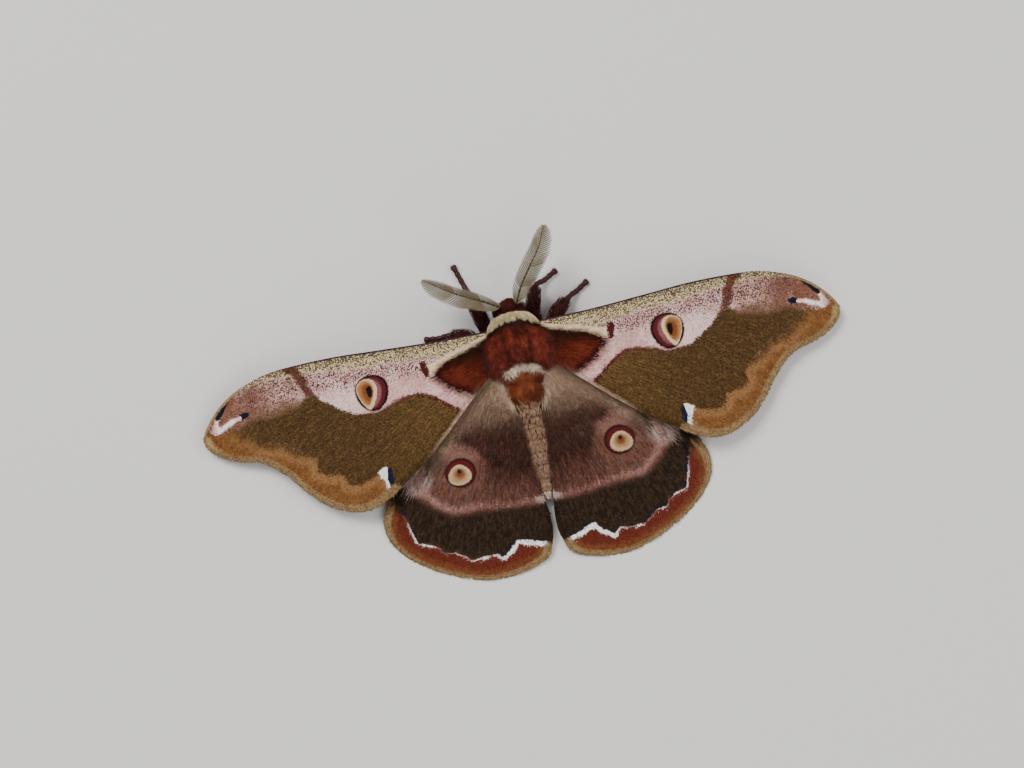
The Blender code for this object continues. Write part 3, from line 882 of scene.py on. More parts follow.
ZIGZAG = (
    (23.0, -17.5), (22.9, -19.6), (22.1, -21.3), (21.5, -23.8), (20.9, -25.7), (18.8, -26.4),
    (17.8, -27.0), (17.4, -27.9), (15.6, -28.1), (14.4, -29.0), (13.3, -29.8), (11.5, -29.8),
    (9.8, -29.6), (8.6, -30.5), (6.8, -29.5), (5.8, -28.4), (4.2, -28.9), (2.4, -29.5), (0.5, -30.2),
)
HIND_DARK = (*BAND_EDGE, *ZIGZAG[::-1], (25.0, -14.5))
BRICK = (*ZIGZAG, (0.0, -36.0), (28.0, -36.0), (28.0, -17.5))
HINDWING_HEM = ((6.0, -4.4), *FOREWING_INNER)
HIND_ARC = (
    (13.0, -10.8), (10.6, -11.6), (9.0, -13.4), (8.0, -15.0), (6.2, -15.4), (4.2, -15.9), (1.8, -16.7),
    (0.0, -17.0),
)

# A share of 1 out and back along the veins, in the millimetres that streaks are drawn in
FLOW_OUT, FLOW_BACK = 46.0, 22.0

WHITE = (0.86, 0.82, 0.80)
BLUE_BLACK = (0.005, 0.005, 0.014)
FRINGE_TAN = (0.27, 0.170, 0.078)
FRINGE_DARK = (0.120, 0.060, 0.022)
HAIR_PALE = (0.54, 0.375, 0.25)

FORE_SPOT = Eyespot(
    (22.85, -2.10),
    (
        Oval((0.0, 0.0), (2.58, 2.80), (0.007, 0.001, 0.001), egg=0.05),
        Oval((0.03, 0.03), (2.20, 2.44), (0.080, 0.008, 0.010), egg=0.05),
        Oval((0.32, 0.02), (1.74, 2.12), (0.20, 0.070, 0.075), 0.12, egg=0.07),
        Oval((0.74, -0.05), (1.46, 2.30), (0.62, 0.45, 0.27), 0.05, egg=0.17),
        Oval((0.96, 0.12), (1.18, 1.90), (0.34, 0.150, 0.050), 0.12, egg=0.16),
        Oval((0.76, 0.12), (0.82, 1.45), (0.150, 0.038, 0.012), 0.40, 0.9, egg=0.14),
        Oval((0.40, 0.25), (0.44, 0.95), (0.006, 0.002, 0.002), 0.22, egg=0.25),
    ),
)
HIND_SPOT = Eyespot(
    (12.25, -16.55),
    (
        Oval((0.0, 0.0), (2.38, 2.22), (0.012, 0.002, 0.002), 0.08),
        Oval((0.05, -0.03), (2.10, 1.92), (0.080, 0.006, 0.006), 0.10),
        Oval((0.20, -0.27), (1.72, 1.50), (0.50, 0.36, 0.205), 0.08, egg=-0.12),
        Oval((0.28, -0.34), (1.34, 1.16), (0.31, 0.165, 0.072), 0.35, 0.85, egg=-0.12),
        Oval((0.14, -0.10), (0.78, 0.72), (0.150, 0.042, 0.014), 0.60),
        Oval((0.14, 0.26), (0.28, 0.30), (0.012, 0.004, 0.003), 0.40),
    ),
)


class WingMarks:
    """Where each mark of a wing is, as distances that its material turns into colours."""

    def __init__(self, form: "WingForm") -> None:
        """Keeps the wing's costa, outer margin and inner margin as lines."""
        self.lines = (smooth(form.costa), smooth(form.outer), smooth(form.inner, 40))

    def edges(self, spots: Array) -> Array:
        """Distances to the costa, to the outer margin and to the inner margin."""
        return self.distances(spots, *self.lines)

    def vectors(self, spots: Array) -> dict[str, Array]:
        """All the wing's distances at the given spots, three to each named attribute."""
        raise NotImplementedError

    @staticmethod
    def distances(spots: Array, *lines: Path) -> Array:
        """Distances to several lines."""
        return np.column_stack([line_distance(spots, line) for line in lines])

    @staticmethod
    def depths(spots: Array, *outlines: Path) -> Array:
        """Depths inside three outlines."""
        return np.column_stack([depth_inside(spots, o) for o in outlines])

    def base(self, spots: Array) -> dict[str, Array]:
        """The place itself and the distances to the edges."""
        plan = np.column_stack([spots, np.zeros(len(spots))])
        return {"plan": plan, "edges": self.edges(spots)}


class ForewingMarks(WingMarks):
    """The forewing's marks."""

    def vectors(self, spots: Array) -> dict[str, Array]:
        """All the forewing's distances at the given spots.

        Args:
            spots: places seen from above, in millimetres.

        Returns:
            The distances, by the attributes' names.
        """
        found = self.base(spots)
        found["fields"] = self.depths(spots, FIELD, OCHRE, BASAL_PATCH)
        found["strips"] = self.depths(spots, COSTAL_STRIP, COSTAL_BAND, CREAM_LINE)
        found["apex"] = self.depths(spots, APEX_BLACK, APEX_WHITE, APEX_DASH)
        found["tornus"] = self.depths(spots, TORNUS_WHITE, TORNUS_BLUE, KNOB)
        edge = self.distances(spots, smooth(FIELD_INNER, 80))
        found["lines"] = np.column_stack([edge, np.zeros_like(spots)])
        return found


class HindwingMarks(WingMarks):
    """The hindwing's marks."""

    def vectors(self, spots: Array) -> dict[str, Array]:
        """All the hindwing's distances at the given spots.

        Args:
            spots: places seen from above, in millimetres.

        Returns:
            The distances, by the attributes' names.
        """
        found = self.base(spots)
        found["fields"] = self.depths(spots, HIND_DARK, BRICK, BRICK)
        found["lines"] = self.distances(spots, *map(smooth, (POSTMEDIAN, HIND_ARC, HINDWING_HEM)))
        return found


class WingShader(Shader):
    """The material of a wing, whose places and distances the mesh holds as attributes."""

    def __init__(self, name: str, base: Colour) -> None:
        """Starts the material, and reads what all wings share.

        Args:
            name: the finish's name.
            base: the colour under all layers.
        """
        super().__init__(name, 0.75, base)
        place = self.millimetres()
        flow = self.node("ShaderNodeUVMap", {}, uv_map="Flow")[0]
        self.speck = self.noise(place, 4.4, 2.0, 0.6)
        self.mottle = self.noise(place, 1.3, 3.0, 0.6)
        self.blotch = self.noise(place, 0.45, 3.0)
        self.streak = self.noise(self.scaled(flow, (0.55, 3.0, 1.0)), 1.0, 3.0, 0.6)
        self.stroke = self.noise(self.scaled(flow, (2.2, 6.0, 1.0)), 1.0, 2.0)
        self.strand = self.noise(self.scaled(flow, (0.22, 1.1, 1.0)), 1.0, 3.0)
        small = self.total(self.noise(place, 4.5, 1.0), -0.5)
        broad = self.total(self.noise(place, 1.1, 2.0), -0.5)
        self.ragged = self.total(self.times(small, 0.7), self.times(broad, 0.9))
        self.x, self.y, _ = self.marks("plan")
        self.costa, self.outer, self.inner = self.marks("edges")

    def wavy(self, value: Value, amount: float) -> Socket:
        """A value made uneven from place to place."""
        return self.total(value, self.times(self.ragged, amount))

    def inside(self, depth: Value, soft: float = 0.12, wild: float = 1.0) -> Socket:
        """A ragged share of 1 inside an outline."""
        return self.step(self.wavy(depth, wild), 0.0, soft)

    def near(self, distance: Value, reach: float, soft: float) -> Socket:
        """A ragged share of 1 near a line."""
        return self.below(self.total(distance, self.ragged), reach, soft)

    def dab(self, colour: Colour, share: float, middle: Spot, half: Spot) -> None:
        """Paints a colour about a place, very softly."""
        self.paint(colour, Oval(middle, half, soft=0.5).inside(self, self.x, self.y), share)

    def fringe(self, width: float) -> None:
        """Paints the fringe's colour along the outer margin.

        Args:
            width: how wide it is, in millimetres.
        """
        rim = self.wavy(self.outer, 0.35)
        self.paint(FRINGE_TAN, self.below(rim, width, 0.18))
        self.paint(FRINGE_DARK, self.between(rim, width * 0.75, width * 1.1, 0.14), 0.35)

    def scaly(self) -> Material:
        """Adds each scale's own tone and the relief of the rows of scales, and finishes the wing.

        Returns:
            The material.
        """
        place = self.millimetres()
        _, tone = self.cells(place, 5.5)
        chance, share, _ = self.marks("hair")
        self.shade(tone, 0.80, 1.20)
        self.shade(chance, 0.84, 1.16)
        self.shade(share, 0.92, 1.08)
        self.bump(self.noise(place, 5.0, 3.0, 0.7), 0.55, 0.07)
        return self.done(specular=0.12)


class ForewingFinish(WingShader):
    """The forewing's pattern: strip, pink ground, band, field, margin, patch, apex marks and eyespot.

    The places and widths in its methods are in millimetres, as in all the wings' shaders.
    """

    pink: Colour = (0.56, 0.305, 0.280)
    pink_pale: Colour = (0.68, 0.45, 0.42)
    dusk: Colour = (0.50, 0.290, 0.235)
    umber: Colour = (0.150, 0.060, 0.040)
    brown: Colour = (0.070, 0.017, 0.006)
    speckle: Colour = (0.045, 0.019, 0.015)
    cream: Colour = (0.60, 0.48, 0.27)
    cream_line: Colour = (0.66, 0.50, 0.32)
    olive: Colour = (0.080, 0.042, 0.0125)
    gold: Colour = (0.142, 0.076, 0.020)
    olive_dark: Colour = (0.026, 0.012, 0.0055)
    ochre: Colour = (0.185, 0.078, 0.022)
    ochre_dark: Colour = (0.115, 0.042, 0.011)
    ochre_pale: Colour = (0.27, 0.135, 0.055)
    rust: Colour = (0.25, 0.046, 0.022)
    maroon: Colour = (0.055, 0.005, 0.005)
    patch_top: Colour = (0.040, 0.014, 0.005)
    glow: Colour = (0.78, 0.58, 0.55)
    beyond_brown: Colour = (0.17, 0.062, 0.037)
    bronze: Colour = (0.150, 0.072, 0.036)
    field_edge: Colour = (0.060, 0.007, 0.006)
    rust_dark: Colour = (0.13, 0.018, 0.009)
    knob: Colour = (0.055, 0.007, 0.006)
    costal_brown: Colour = (0.15, 0.062, 0.043)
    tip_brown: Colour = (0.17, 0.062, 0.036)
    halo: Colour = (0.62, 0.37, 0.33)
    corner_blue: Colour = (0.006, 0.007, 0.026)
    tip_tan: Colour = (0.34, 0.225, 0.095)
    thread: Colour = (0.035, 0.014, 0.020)

    def __init__(self) -> None:
        """Paints the pattern, layer over layer."""
        super().__init__("forewing_scales", self.pink)
        self.ground()
        self.strip()
        self.field()
        self.patch()
        self.apex()
        self.margins()
        FORE_SPOT.lay_on(self)
        self.scaly()

    def ground(self) -> None:
        """Paints the pink ground, with dark scales thickest along the costa and beyond the band."""
        self.paint(self.pink_pale, self.step(self.blotch, 0.52, 0.15))
        self.dab(self.glow, 0.6, (27.4, -2.6), (3.4, 2.6))
        beyond = self.step(self.x, 34.0, 0.8)
        self.paint(self.dusk, beyond, 0.85)
        self.paint(self.umber, beyond, self.step(self.mottle, 0.56, 0.05), 0.55)
        brownish = self.between(self.wavy(self.x, 2.0), 39.5, 46.5, 2.0)
        self.paint(self.beyond_brown, brownish, self.step(self.blotch, 0.47, 0.14), 0.8)
        near_costa = self.below(self.costa, 5.1, 1.5)
        amount = self.math("MAXIMUM", near_costa, self.times(beyond, 0.85))
        level = self.total(self.times(amount, 0.175), 0.305)
        dark = self.step(self.math("SUBTRACT", level, self.speck), 0.0, 0.02)
        self.paint(self.speckle, dark, 0.95)

    def strip(self) -> None:
        """Paints the speckled cream strip along the costa, the cream line behind it and the band."""
        strip_in, band_in, cream_in = self.marks("strips")
        strip = self.inside(strip_in, 0.3, 0.9)
        self.paint(self.cream, strip)
        level = self.total(0.49, self.times(self.below(self.costa, 1.0, 0.8), 0.05))
        dark = self.step(self.math("SUBTRACT", level, self.speck), 0.0, 0.025)
        self.paint(self.speckle, strip, dark, 0.92)
        self.paint(self.cream_line, self.inside(cream_in, 0.1, 0.5))
        self.paint(self.brown, self.inside(self.total(band_in, 0.18), 0.22, 0.9), 0.92)

    def field(self) -> None:
        """Paints the ochre margin, then the olive field with its dark red edge."""
        field_in, ochre_in, _ = self.marks("fields")
        low = self.times(self.step(self.y, -3.2, 0.6), -0.6)
        ochre = self.inside(self.total(ochre_in, low, 0.6), 0.15, 0.8)
        streaky = self.step(self.streak, 0.45, 0.2)
        self.paint(self.mix(streaky, self.ochre_dark, self.ochre), ochre)
        pale = self.between(self.wavy(field_in, 1.5), -1.3, -0.1, 0.5)
        self.paint(self.ochre_pale, ochre, pale, self.below(self.y, -5.0, 3.0), 0.6)
        soft = self.total(0.12, self.times(self.step(self.x, 34.0, 2.0), 0.8))
        depth = self.wavy(field_in, 0.9)
        share = self.math("DIVIDE", self.total(depth, soft), self.times(soft, 2.0))
        share = self.node("ShaderNodeClamp", {0: share})[0]
        olive = self.mix(self.step(self.streak, 0.54, 0.10), self.olive, self.gold)
        strokes = self.times(self.below(self.stroke, 0.44, 0.035), 0.8)
        olive = self.mix(strokes, olive, self.olive_dark)
        self.paint(olive, share)
        shadow = self.between(self.wavy(self.x, 2.0), 20.0, 45.0, 6.0)
        self.paint(self.olive_dark, share, shadow, 0.36)
        self.dab(self.bronze, 0.5, (38.4, -1.2), (4.6, 1.1))
        line, _, _ = self.marks("lines")
        self.paint(self.field_edge, self.near(line, 0.22, 0.18), self.below(self.x, 21.0, 5.0))

    def patch(self) -> None:
        """Paints the rust patch at the base, dark at its outer edge and its top, and the knob beyond."""
        _, _, patch_in = self.marks("fields")
        _, _, knob_in = self.marks("tornus")
        deep = self.step(self.total(patch_in, self.ragged), 0.90, 0.50)
        rust = self.mix(self.step(self.strand, 0.50, 0.12), self.rust, self.rust_dark)
        patch = self.mix(deep, self.maroon, rust)
        patch = self.mix(self.times(self.step(self.y, -0.6, 1.0), 0.85), patch, self.patch_top)
        self.paint(patch, self.inside(patch_in, 0.08, 0.5))
        self.paint(self.knob, self.inside(knob_in, 0.1, 0.5))

    def apex(self) -> None:
        """Paints the black and white marks at the apex and at the hind corner."""
        black_in, white_in, dash_in = self.marks("apex")
        comma_in, blue_in, _ = self.marks("tornus")
        self.dab(self.costal_brown, 0.45, (41.6, 1.0), (3.2, 1.8))
        self.dab(self.tip_brown, 0.75, (45.6, -0.4), (3.0, 2.2))
        self.paint(self.halo, self.inside(self.total(white_in, 0.08), 0.12, 0.5))
        thin = self.total(white_in, -0.08)
        self.paint(WHITE, self.inside(thin, 0.10, 0.5), self.below(self.x, 47.3, 0.4))
        self.paint(BLUE_BLACK, self.inside(black_in, 0.06, 0.3))
        self.paint(BLUE_BLACK, self.inside(dash_in, 0.06, 0.4))
        self.paint(self.corner_blue, self.inside(blue_in, 0.06, 0.25))
        self.paint(WHITE, self.inside(comma_in, 0.06, 0.35))

    def margins(self) -> None:
        """Paints the fringe, the dark thread along the costa, and the pale hem behind."""
        self.fringe(1.2)
        tip = self.times(self.step(self.x, 45.5, 1.0), self.below(self.outer, 1.5, 0.3))
        self.paint(self.tip_tan, tip, self.step(self.y, -5.5, 1.5), 0.8)
        self.paint(FRINGE_TAN, self.step(self.x, 43.5, 1.0), self.below(self.costa, 0.42, 0.12))
        self.paint(self.thread, self.below(self.costa, 0.26, 0.10), self.below(self.x, 36.0, 4.0))
        hem = self.below(self.inner, 0.45, 0.2)
        self.paint(HAIR_PALE, hem, self.between(self.x, 7.0, 15.0, 2.0), 0.5)


class HindwingFinish(WingShader):
    """The hindwing's pattern: rose hair, pink band, dark band, zigzag, brick margin and eyespot."""

    rose_grey: Colour = (0.098, 0.046, 0.034)
    rose_brown: Colour = (0.115, 0.043, 0.028)
    dark: Colour = (0.030, 0.011, 0.009)
    olive: Colour = (0.036, 0.019, 0.009)
    olive_dark: Colour = (0.010, 0.005, 0.002)
    brick: Colour = (0.125, 0.023, 0.010)
    brick_dark: Colour = (0.080, 0.010, 0.006)
    brick_outer: Colour = (0.150, 0.048, 0.016)
    rose_red: Colour = (0.098, 0.037, 0.025)
    rose_pale: Colour = (0.17, 0.085, 0.062)
    shade_brown: Colour = (0.050, 0.020, 0.014)
    hem_hair: Colour = (0.37, 0.24, 0.165)
    spot_rose: Colour = (0.235, 0.125, 0.095)
    spot_dusk: Colour = (0.060, 0.038, 0.024)
    corner_pale: Colour = (0.46, 0.34, 0.29)
    band_inner: Colour = (0.155, 0.060, 0.046)
    band_outer: Colour = (0.26, 0.125, 0.100)
    band_streak: Colour = (0.29, 0.165, 0.14)
    band_middle: Colour = (0.55, 0.42, 0.36)
    zigzag_blue: Colour = (0.005, 0.005, 0.012)
    zigzag_pink: Colour = (0.45, 0.21, 0.175)

    def __init__(self) -> None:
        """Paints the pattern, layer over layer."""
        super().__init__("hindwing_scales", self.rose_grey)
        self.ground()
        self.pale_hair()
        self.bands()
        self.margin()
        HIND_SPOT.lay_on(self)
        self.scaly()

    def ground(self) -> None:
        """Paints the rose hair in streaks, redder behind the dark arc."""
        _, arc, _ = self.marks("lines")
        self.paint(self.rose_brown, self.step(self.blotch, 0.5, 0.12))
        self.paint(self.rose_red, self.below(self.y, -15.0, 1.5), self.below(self.x, 10.5, 2.0), 0.6)
        self.paint(self.rose_pale, self.step(self.streak, 0.58, 0.08), 0.35)
        self.paint(self.dark, self.below(self.streak, 0.43, 0.06), 0.65)
        shaded = self.below(self.mottle, 0.50, 0.08)
        self.paint(self.shade_brown, self.below(self.x, 8.0, 2.5), shaded, 0.35)
        self.paint(self.dark, self.near(arc, 0.40, 0.40), 0.75)

    def pale_hair(self) -> None:
        """Paints the pale hair of the wing's base, along the forewing's hem and about the eyespot."""
        _, _, hem = self.marks("lines")
        strands = self.total(0.55, self.times(self.step(self.strand, 0.46, 0.10), 0.45))
        base = self.step(self.wavy(self.y, 2.4), -8.6, 3.0)
        self.paint(HAIR_PALE, base, strands, 0.95)
        behind = self.step(self.y, -14.5, 2.5)
        self.paint(self.hem_hair, self.near(hem, 1.3, 1.0), behind, strands, 0.85)
        self.dab(self.spot_rose, 0.45, (11.4, -13.9), (2.6, 1.5))
        self.dab(self.spot_dusk, 0.7, (15.9, -14.2), (1.6, 1.6))
        self.dab(self.corner_pale, 0.85, (19.1, -16.3), (2.0, 2.0))

    def bands(self) -> None:
        """Paints the pink band and the dark band behind it."""
        band, _, _ = self.marks("lines")
        dark_in, _, _ = self.marks("fields")
        tint = self.mix(self.step(self.x, 12.0, 4.0), self.band_inner, self.band_outer)
        tint = self.mix(self.step(self.streak, 0.56, 0.1), tint, self.band_streak)
        self.paint(tint, self.near(band, 0.42, 0.62), 0.9)
        wild = self.times(self.total(self.streak, -0.5), 1.6)
        soft = self.step(self.total(dark_in, self.times(self.ragged, 0.8), wild), 0.25, 0.65)
        dark = self.mix(self.step(self.streak, 0.5, 0.12), self.olive_dark, self.olive)
        strokes = self.times(self.below(self.stroke, 0.45, 0.05), 0.6)
        self.paint(self.mix(strokes, dark, self.olive_dark), soft)
        self.paint(self.band_middle, self.near(band, 0.45, 0.4), self.below(self.x, 1.6, 0.8), 0.8)

    def margin(self) -> None:
        """Paints the brick margin, the white zigzag with its blue edge, and the fringe."""
        _, brick_in, _ = self.marks("fields")
        depth = self.wavy(brick_in, 0.75)
        inward = self.below(self.x, 9.5, 2.5)
        brick = self.mix(self.streak, self.brick_dark, self.brick)
        self.paint(brick, self.step(depth, 0.0, 0.08))
        outer = self.below(self.wavy(self.outer, 1.2), 2.0, 0.6)
        self.paint(self.brick_outer, self.step(depth, 0.3, 0.1), outer, 0.85)
        blue = self.math("MAXIMUM", self.times(inward, 0.9), self.step(self.blotch, 0.56, 0.03))
        self.paint(self.zigzag_blue, self.between(depth, -0.75, -0.15, 0.2), blue, 0.8)
        patchy = self.step(self.noise(self.millimetres(), 0.34, 1.0), 0.50, 0.10)
        thick = self.total(0.03, self.times(inward, 0.22), self.times(patchy, 0.11))
        white = self.math("SUBTRACT", thick, self.math("ABSOLUTE", self.total(depth, 0.12)))
        pallor = self.mix(self.math("MAXIMUM", patchy, inward), self.zigzag_pink, WHITE)
        self.paint(pallor, self.step(white, 0.0, 0.06), self.below(self.x, 21.5, 1.0))
        self.fringe(1.2)


@dataclass
class Lay:
    """How the tufts of one of a wing's coats lie. Each array has a value for each tuft."""

    turn: Array
    length: Array
    width: Array
    lift: Array
    shape: TuftShape
    seed: int
    colour_shift: float = 0.0


@dataclass(frozen=True)
class LayRange:
    """The ranges that a coat's tufts vary in, and the number that its seeds are counted from."""

    wild: float
    length: Spot
    width: Spot
    lift: Spot
    shape: TuftShape
    seed: int

    def draw(self, rng: Chance, count: int, seed: int) -> Lay:
        """Draws how each tuft lies.

        Args:
            rng: the source of chance.
            count: how many tufts there are.
            seed: the coat's own seed.

        Returns:
            How they lie.
        """
        turn = rng.normal(0, self.wild, count)
        sizes = [rng.uniform(*ends, count) for ends in (self.length, self.width, self.lift)]
        return Lay(turn, *sizes, self.shape, seed)


WING_SCALES = LayRange(0.22, (0.32, 0.55), (0.13, 0.20), (0.05, 0.13), SCALE, 156)
WING_FRINGE = LayRange(0.06, (0.80, 0.94), (0.14, 0.20), (-0.06, 0.06), SCALE, 200)
WING_HAIR = LayRange(0.16, (0.6, 1.1), (0.09, 0.15), (0.15, 0.5), HAIR, 300)


@dataclass(frozen=True)
class WingForm:
    """What the two wings of a kind share: edges, veins, and the numbers and lengths of its tufts.

    The root and the outer margin run back from the costa, and the other two edges run out from
    the root. Each vein is a place between the costa and the inner margin, and where it starts.
    """

    kind: WingKind
    slot: str
    root: Path
    costa: Path
    outer: Path
    inner: Path
    veins: tuple[Spot, ...]
    cell_end: float
    span: float
    spot: Spot
    scale_count: int
    hair_count: int
    hair_length: float
    hair_turns: Spot
    seed: int


@dataclass
class Wing(Surface):
    """One wing: the membrane with its veins and relief, and its coat."""

    form: WingForm
    side: Side
    marks: WingMarks
    spot_clear: float = 3.3
    rows: int = 150
    columns: int = 96
    half: float = 0.10
    fringe_length: float = 0.95
    fringe_count: int = 2200
    vein_height: float = 0.17
    vein_width: float = 0.20

    def __post_init__(self) -> None:
        """Works out how far out the membrane reaches, where the fringe starts."""
        self.reach = 1 - self.fringe_length / self.form.span

    def plan(self, s: Array, t: Array) -> Array:
        """Places seen from above, s out from the root and t back from the costa.

        Args:
            s: shares out from the root.
            t: shares back from the costa.

        Returns:
            A row for each place.
        """
        form = self.form
        s, t = np.clip(s, 0, 1), np.clip(t, 0, 1)
        front, back = curve_at(form.costa, s), curve_at(form.inner, s)
        root, outer = curve_at(form.root, t), curve_at(form.outer, t)
        s, t = s[:, None], t[:, None]
        near, far = (
            (1 - t) * np.array(form.costa[end]) + t * np.array(form.inner[end]) for end in (0, -1)
        )
        corners = (1 - s) * near + s * far
        return (1 - t) * front + t * back + (1 - s) * root + s * outer - corners

    def middle(self, plan: Array) -> Array:
        """Height of the wing's middle surface, which falls away from its root in a slight arch.

        Args:
            plan: places seen from above, in millimetres.

        Returns:
            The heights.
        """
        x, y = plan.T
        if self.form.kind is WingKind.FORE:
            out, back = x - 5.3, 3.4 - y
            return 6.35 - 0.035 * out - 0.0011 * out**2 - 0.04 * back - 0.0022 * out * back
        reach = np.hypot(x - 3.9, y + 3.0)
        return np.maximum(4.7 - 0.045 * reach - 0.0034 * reach**2, 0.25)

    def relief(self, s: Array, t: Array) -> Array:
        """How far veins and folds raise the upper face.

        Args:
            s: shares out from the root.
            t: shares back from the costa.

        Returns:
            A height for each place.
        """
        form = self.form
        chord = np.linalg.norm(curve_at(form.costa, s) - curve_at(form.inner, s), axis=1)
        raised = np.zeros(len(s))
        for place, start in form.veins:
            away = (t - place) * chord
            ridge = np.exp(-((away / self.vein_width) ** 2)) * ease(s, start - 0.02, start + 0.02)
            raised = np.maximum(raised, ridge)
        in_cell = (t > form.veins[1][0]) & (t < form.veins[4][0])
        cross = np.exp(-(((s - form.cell_end) * 10 / self.vein_width) ** 2)) * in_cell
        fold = 0.05 * np.sin(t * TAU * 7.5) * ease(s, 0.1, 0.5)
        return self.vein_height * np.maximum(raised, 0.7 * cross) * (1 - 0.55 * s) + fold

    def at(self, u: Array, v: Array) -> Array:
        """Places on the upper face, for coats.

        Args:
            u: shares along the surface.
            v: shares across or round it.

        Returns:
            A row for each place.
        """
        plan = self.plan(u * self.reach, v)
        height = self.middle(plan) + self.half + self.relief(u * self.reach, v)
        return np.column_stack([plan[:, 0] * self.side.value, plan[:, 1], height])

    def frame_at(self, u: Array, v: Array) -> tuple[Array, Array, Array]:
        """Places, normals that point up, and directions out along the veins."""
        here, normals, out = super().frame_at(np.clip(u, 0.003, 0.997), np.clip(v, 0.003, 0.997))
        return here, normals * np.sign(normals[:, 2:]), out

    def flow(self, s: Array, t: Array) -> Array:
        """Coordinates that run along the veins, in millimetres, for streaks."""
        return np.column_stack([s * FLOW_OUT, t * FLOW_BACK])

    def name(self) -> str:
        """The node's name."""
        return f"{self.form.kind.value}_{self.side.word}"

    def seed(self, lay: LayRange) -> int:
        """The seed of one of the wing's coats."""
        return lay.seed + self.form.seed + self.side.value

    def membrane(self, finish: Material) -> Piece:
        """Builds the wing's membrane with its veins.

        Args:
            finish: the wing's pattern.

        Returns:
            The piece, which stands for the wing's node.
        """
        bm = bmesh.new()
        bmesh.ops.create_grid(bm, x_segments=self.rows, y_segments=self.columns, size=0.5)
        made = bmesh.ops.extrude_face_region(bm, geom=bm.faces[:])
        upper = [g for g in made["geom"] if isinstance(g, bmesh.types.BMVert)]
        bmesh.ops.translate(bm, verts=upper, vec=(0, 0, 1))
        mesh = mesh_of(self.name() + "_membrane", bm)
        flat = places_of(mesh)
        s, t, top = flat[:, 0] + 0.5, flat[:, 1] + 0.5, flat[:, 2] > 0.5
        plan = self.plan(s * self.reach, t)
        edges = self.marks.edges(plan)
        thin = 0.35 + 0.65 * ease(edges.min(axis=1), 0.0, 1.2)
        relief = self.relief(s * self.reach, t)
        middle = self.middle(plan)
        height = np.where(top, middle + self.half * thin + relief * thin, middle - self.half * thin)
        height = np.maximum(height, 0.02)
        place = np.column_stack([plan[:, 0] * self.side.value, plan[:, 1], height])
        mesh.vertices.foreach_set("co", place.ravel())
        mesh.update()
        tidy = bmesh.new()
        tidy.from_mesh(mesh)
        bmesh.ops.recalc_face_normals(tidy, faces=tidy.faces)
        tidy.to_mesh(mesh)
        tidy.free()
        for name, values in self.marks.vectors(plan).items():
            set_vectors(mesh, name, values)
        set_vectors(mesh, "hair", np.full((len(s), 3), 0.5))
        set_uv(mesh, "Flow", self.flow(s, t))
        set_uv(mesh, BAKE_MAP, np.column_stack([s * 0.98 + 0.01, t * 0.48 + np.where(top, 0.01, 0.51)]))
        piece = place_mesh(self.name() + "_membrane", mesh, finish)
        return settle(piece, self.form.slot, [self.name()])

    def coat(
        self, label: str, finish: Material, spots: Array, lay: Lay,
    ) -> Piece:
        """Grows scales or hairs on the wing, each in the colour of the wing under its root.

        Args:
            label: what the coat is, for its name.
            finish: the wing's pattern.
            spots: u and v of each root.
            lay: how each tuft lies.

        Returns:
            The coat's piece.
        """
        u, v = spots.T
        roots, normals, out = self.frame_at(u, v)
        across = np.cross(normals, out)
        ways = round_about(lay.turn, out, across * self.side.value)
        plan = self.plan(u * self.reach + lay.colour_shift, v)
        unwrap = np.column_stack([u * 0.98 + 0.01, v * 0.48 + 0.01])
        coat = Coat(
            f"{self.name()}_{label}", roots, normals, ways, unwrap, lay.length, lay.width, lay.lift,
            lay.shape, lay.seed, vectors=self.marks.vectors(plan),
            maps={"Flow": self.flow(u * self.reach, v)},
        )
        return coat.grow(finish, self.form.slot)

    def scales(self, finish: Material) -> None:
        """Covers the upper face with short flat scales, but for the eyespot.

        Args:
            finish: its material.
        """
        seed, count = self.seed(WING_SCALES), self.form.scale_count
        rng = np.random.default_rng(seed)
        u = np.sqrt(rng.uniform(0.0, 1.0, count) * 0.97 + 0.01)
        v = rng.uniform(0.01, 0.99, count)
        plan = self.plan(u * self.reach, v)
        clear = np.hypot(*(plan - np.array(self.form.spot)).T) > self.spot_clear
        spots = np.column_stack([u, v])[clear]
        self.coat("scales", finish, spots, WING_SCALES.draw(rng, len(spots), seed))

    def fringe(self, finish: Material) -> None:
        """Edges the outer margin with a fringe of long scales, coloured from the margin inside it.

        Args:
            finish: its material.
        """
        seed, count = self.seed(WING_FRINGE), self.fringe_count
        rng = np.random.default_rng(seed)
        lay = WING_FRINGE.draw(rng, count, seed)
        lay.length = lay.length * self.fringe_length
        lay.colour_shift = 0.6 * (1 - self.reach)
        spots = np.column_stack([rng.uniform(0.985, 0.998, count), rng.uniform(0.004, 0.996, count)])
        self.coat("fringe", finish, spots, lay)

    def hair_wanted(self, plan: Array, rng: Chance) -> Array:
        """Whether each place is to have long hair.

        Args:
            plan: places seen from above, in millimetres.
            rng: the source of chance.

        Returns:
            True where it is.
        """
        if self.form.kind is WingKind.FORE:
            return depth_inside(plan, BASAL_PATCH) > -0.3
        near_body = (1 - ease(plan[:, 0], 4.0, 12.0)) * ease(plan[:, 1], -20.0, -15.0)
        near_root = 1 - ease(np.hypot(plan[:, 0] - 4, plan[:, 1] + 3), 6.0, 20.0)
        near_hem = 1 - ease(line_distance(plan, HINDWING_HEM), 1.0, 2.5)
        wanted = rng.random(len(plan)) < np.maximum(np.maximum(near_root, near_body), near_hem * 0.8)
        return wanted & (np.hypot(*(plan - np.array([12.0, -15.6])).T) > 4.4)

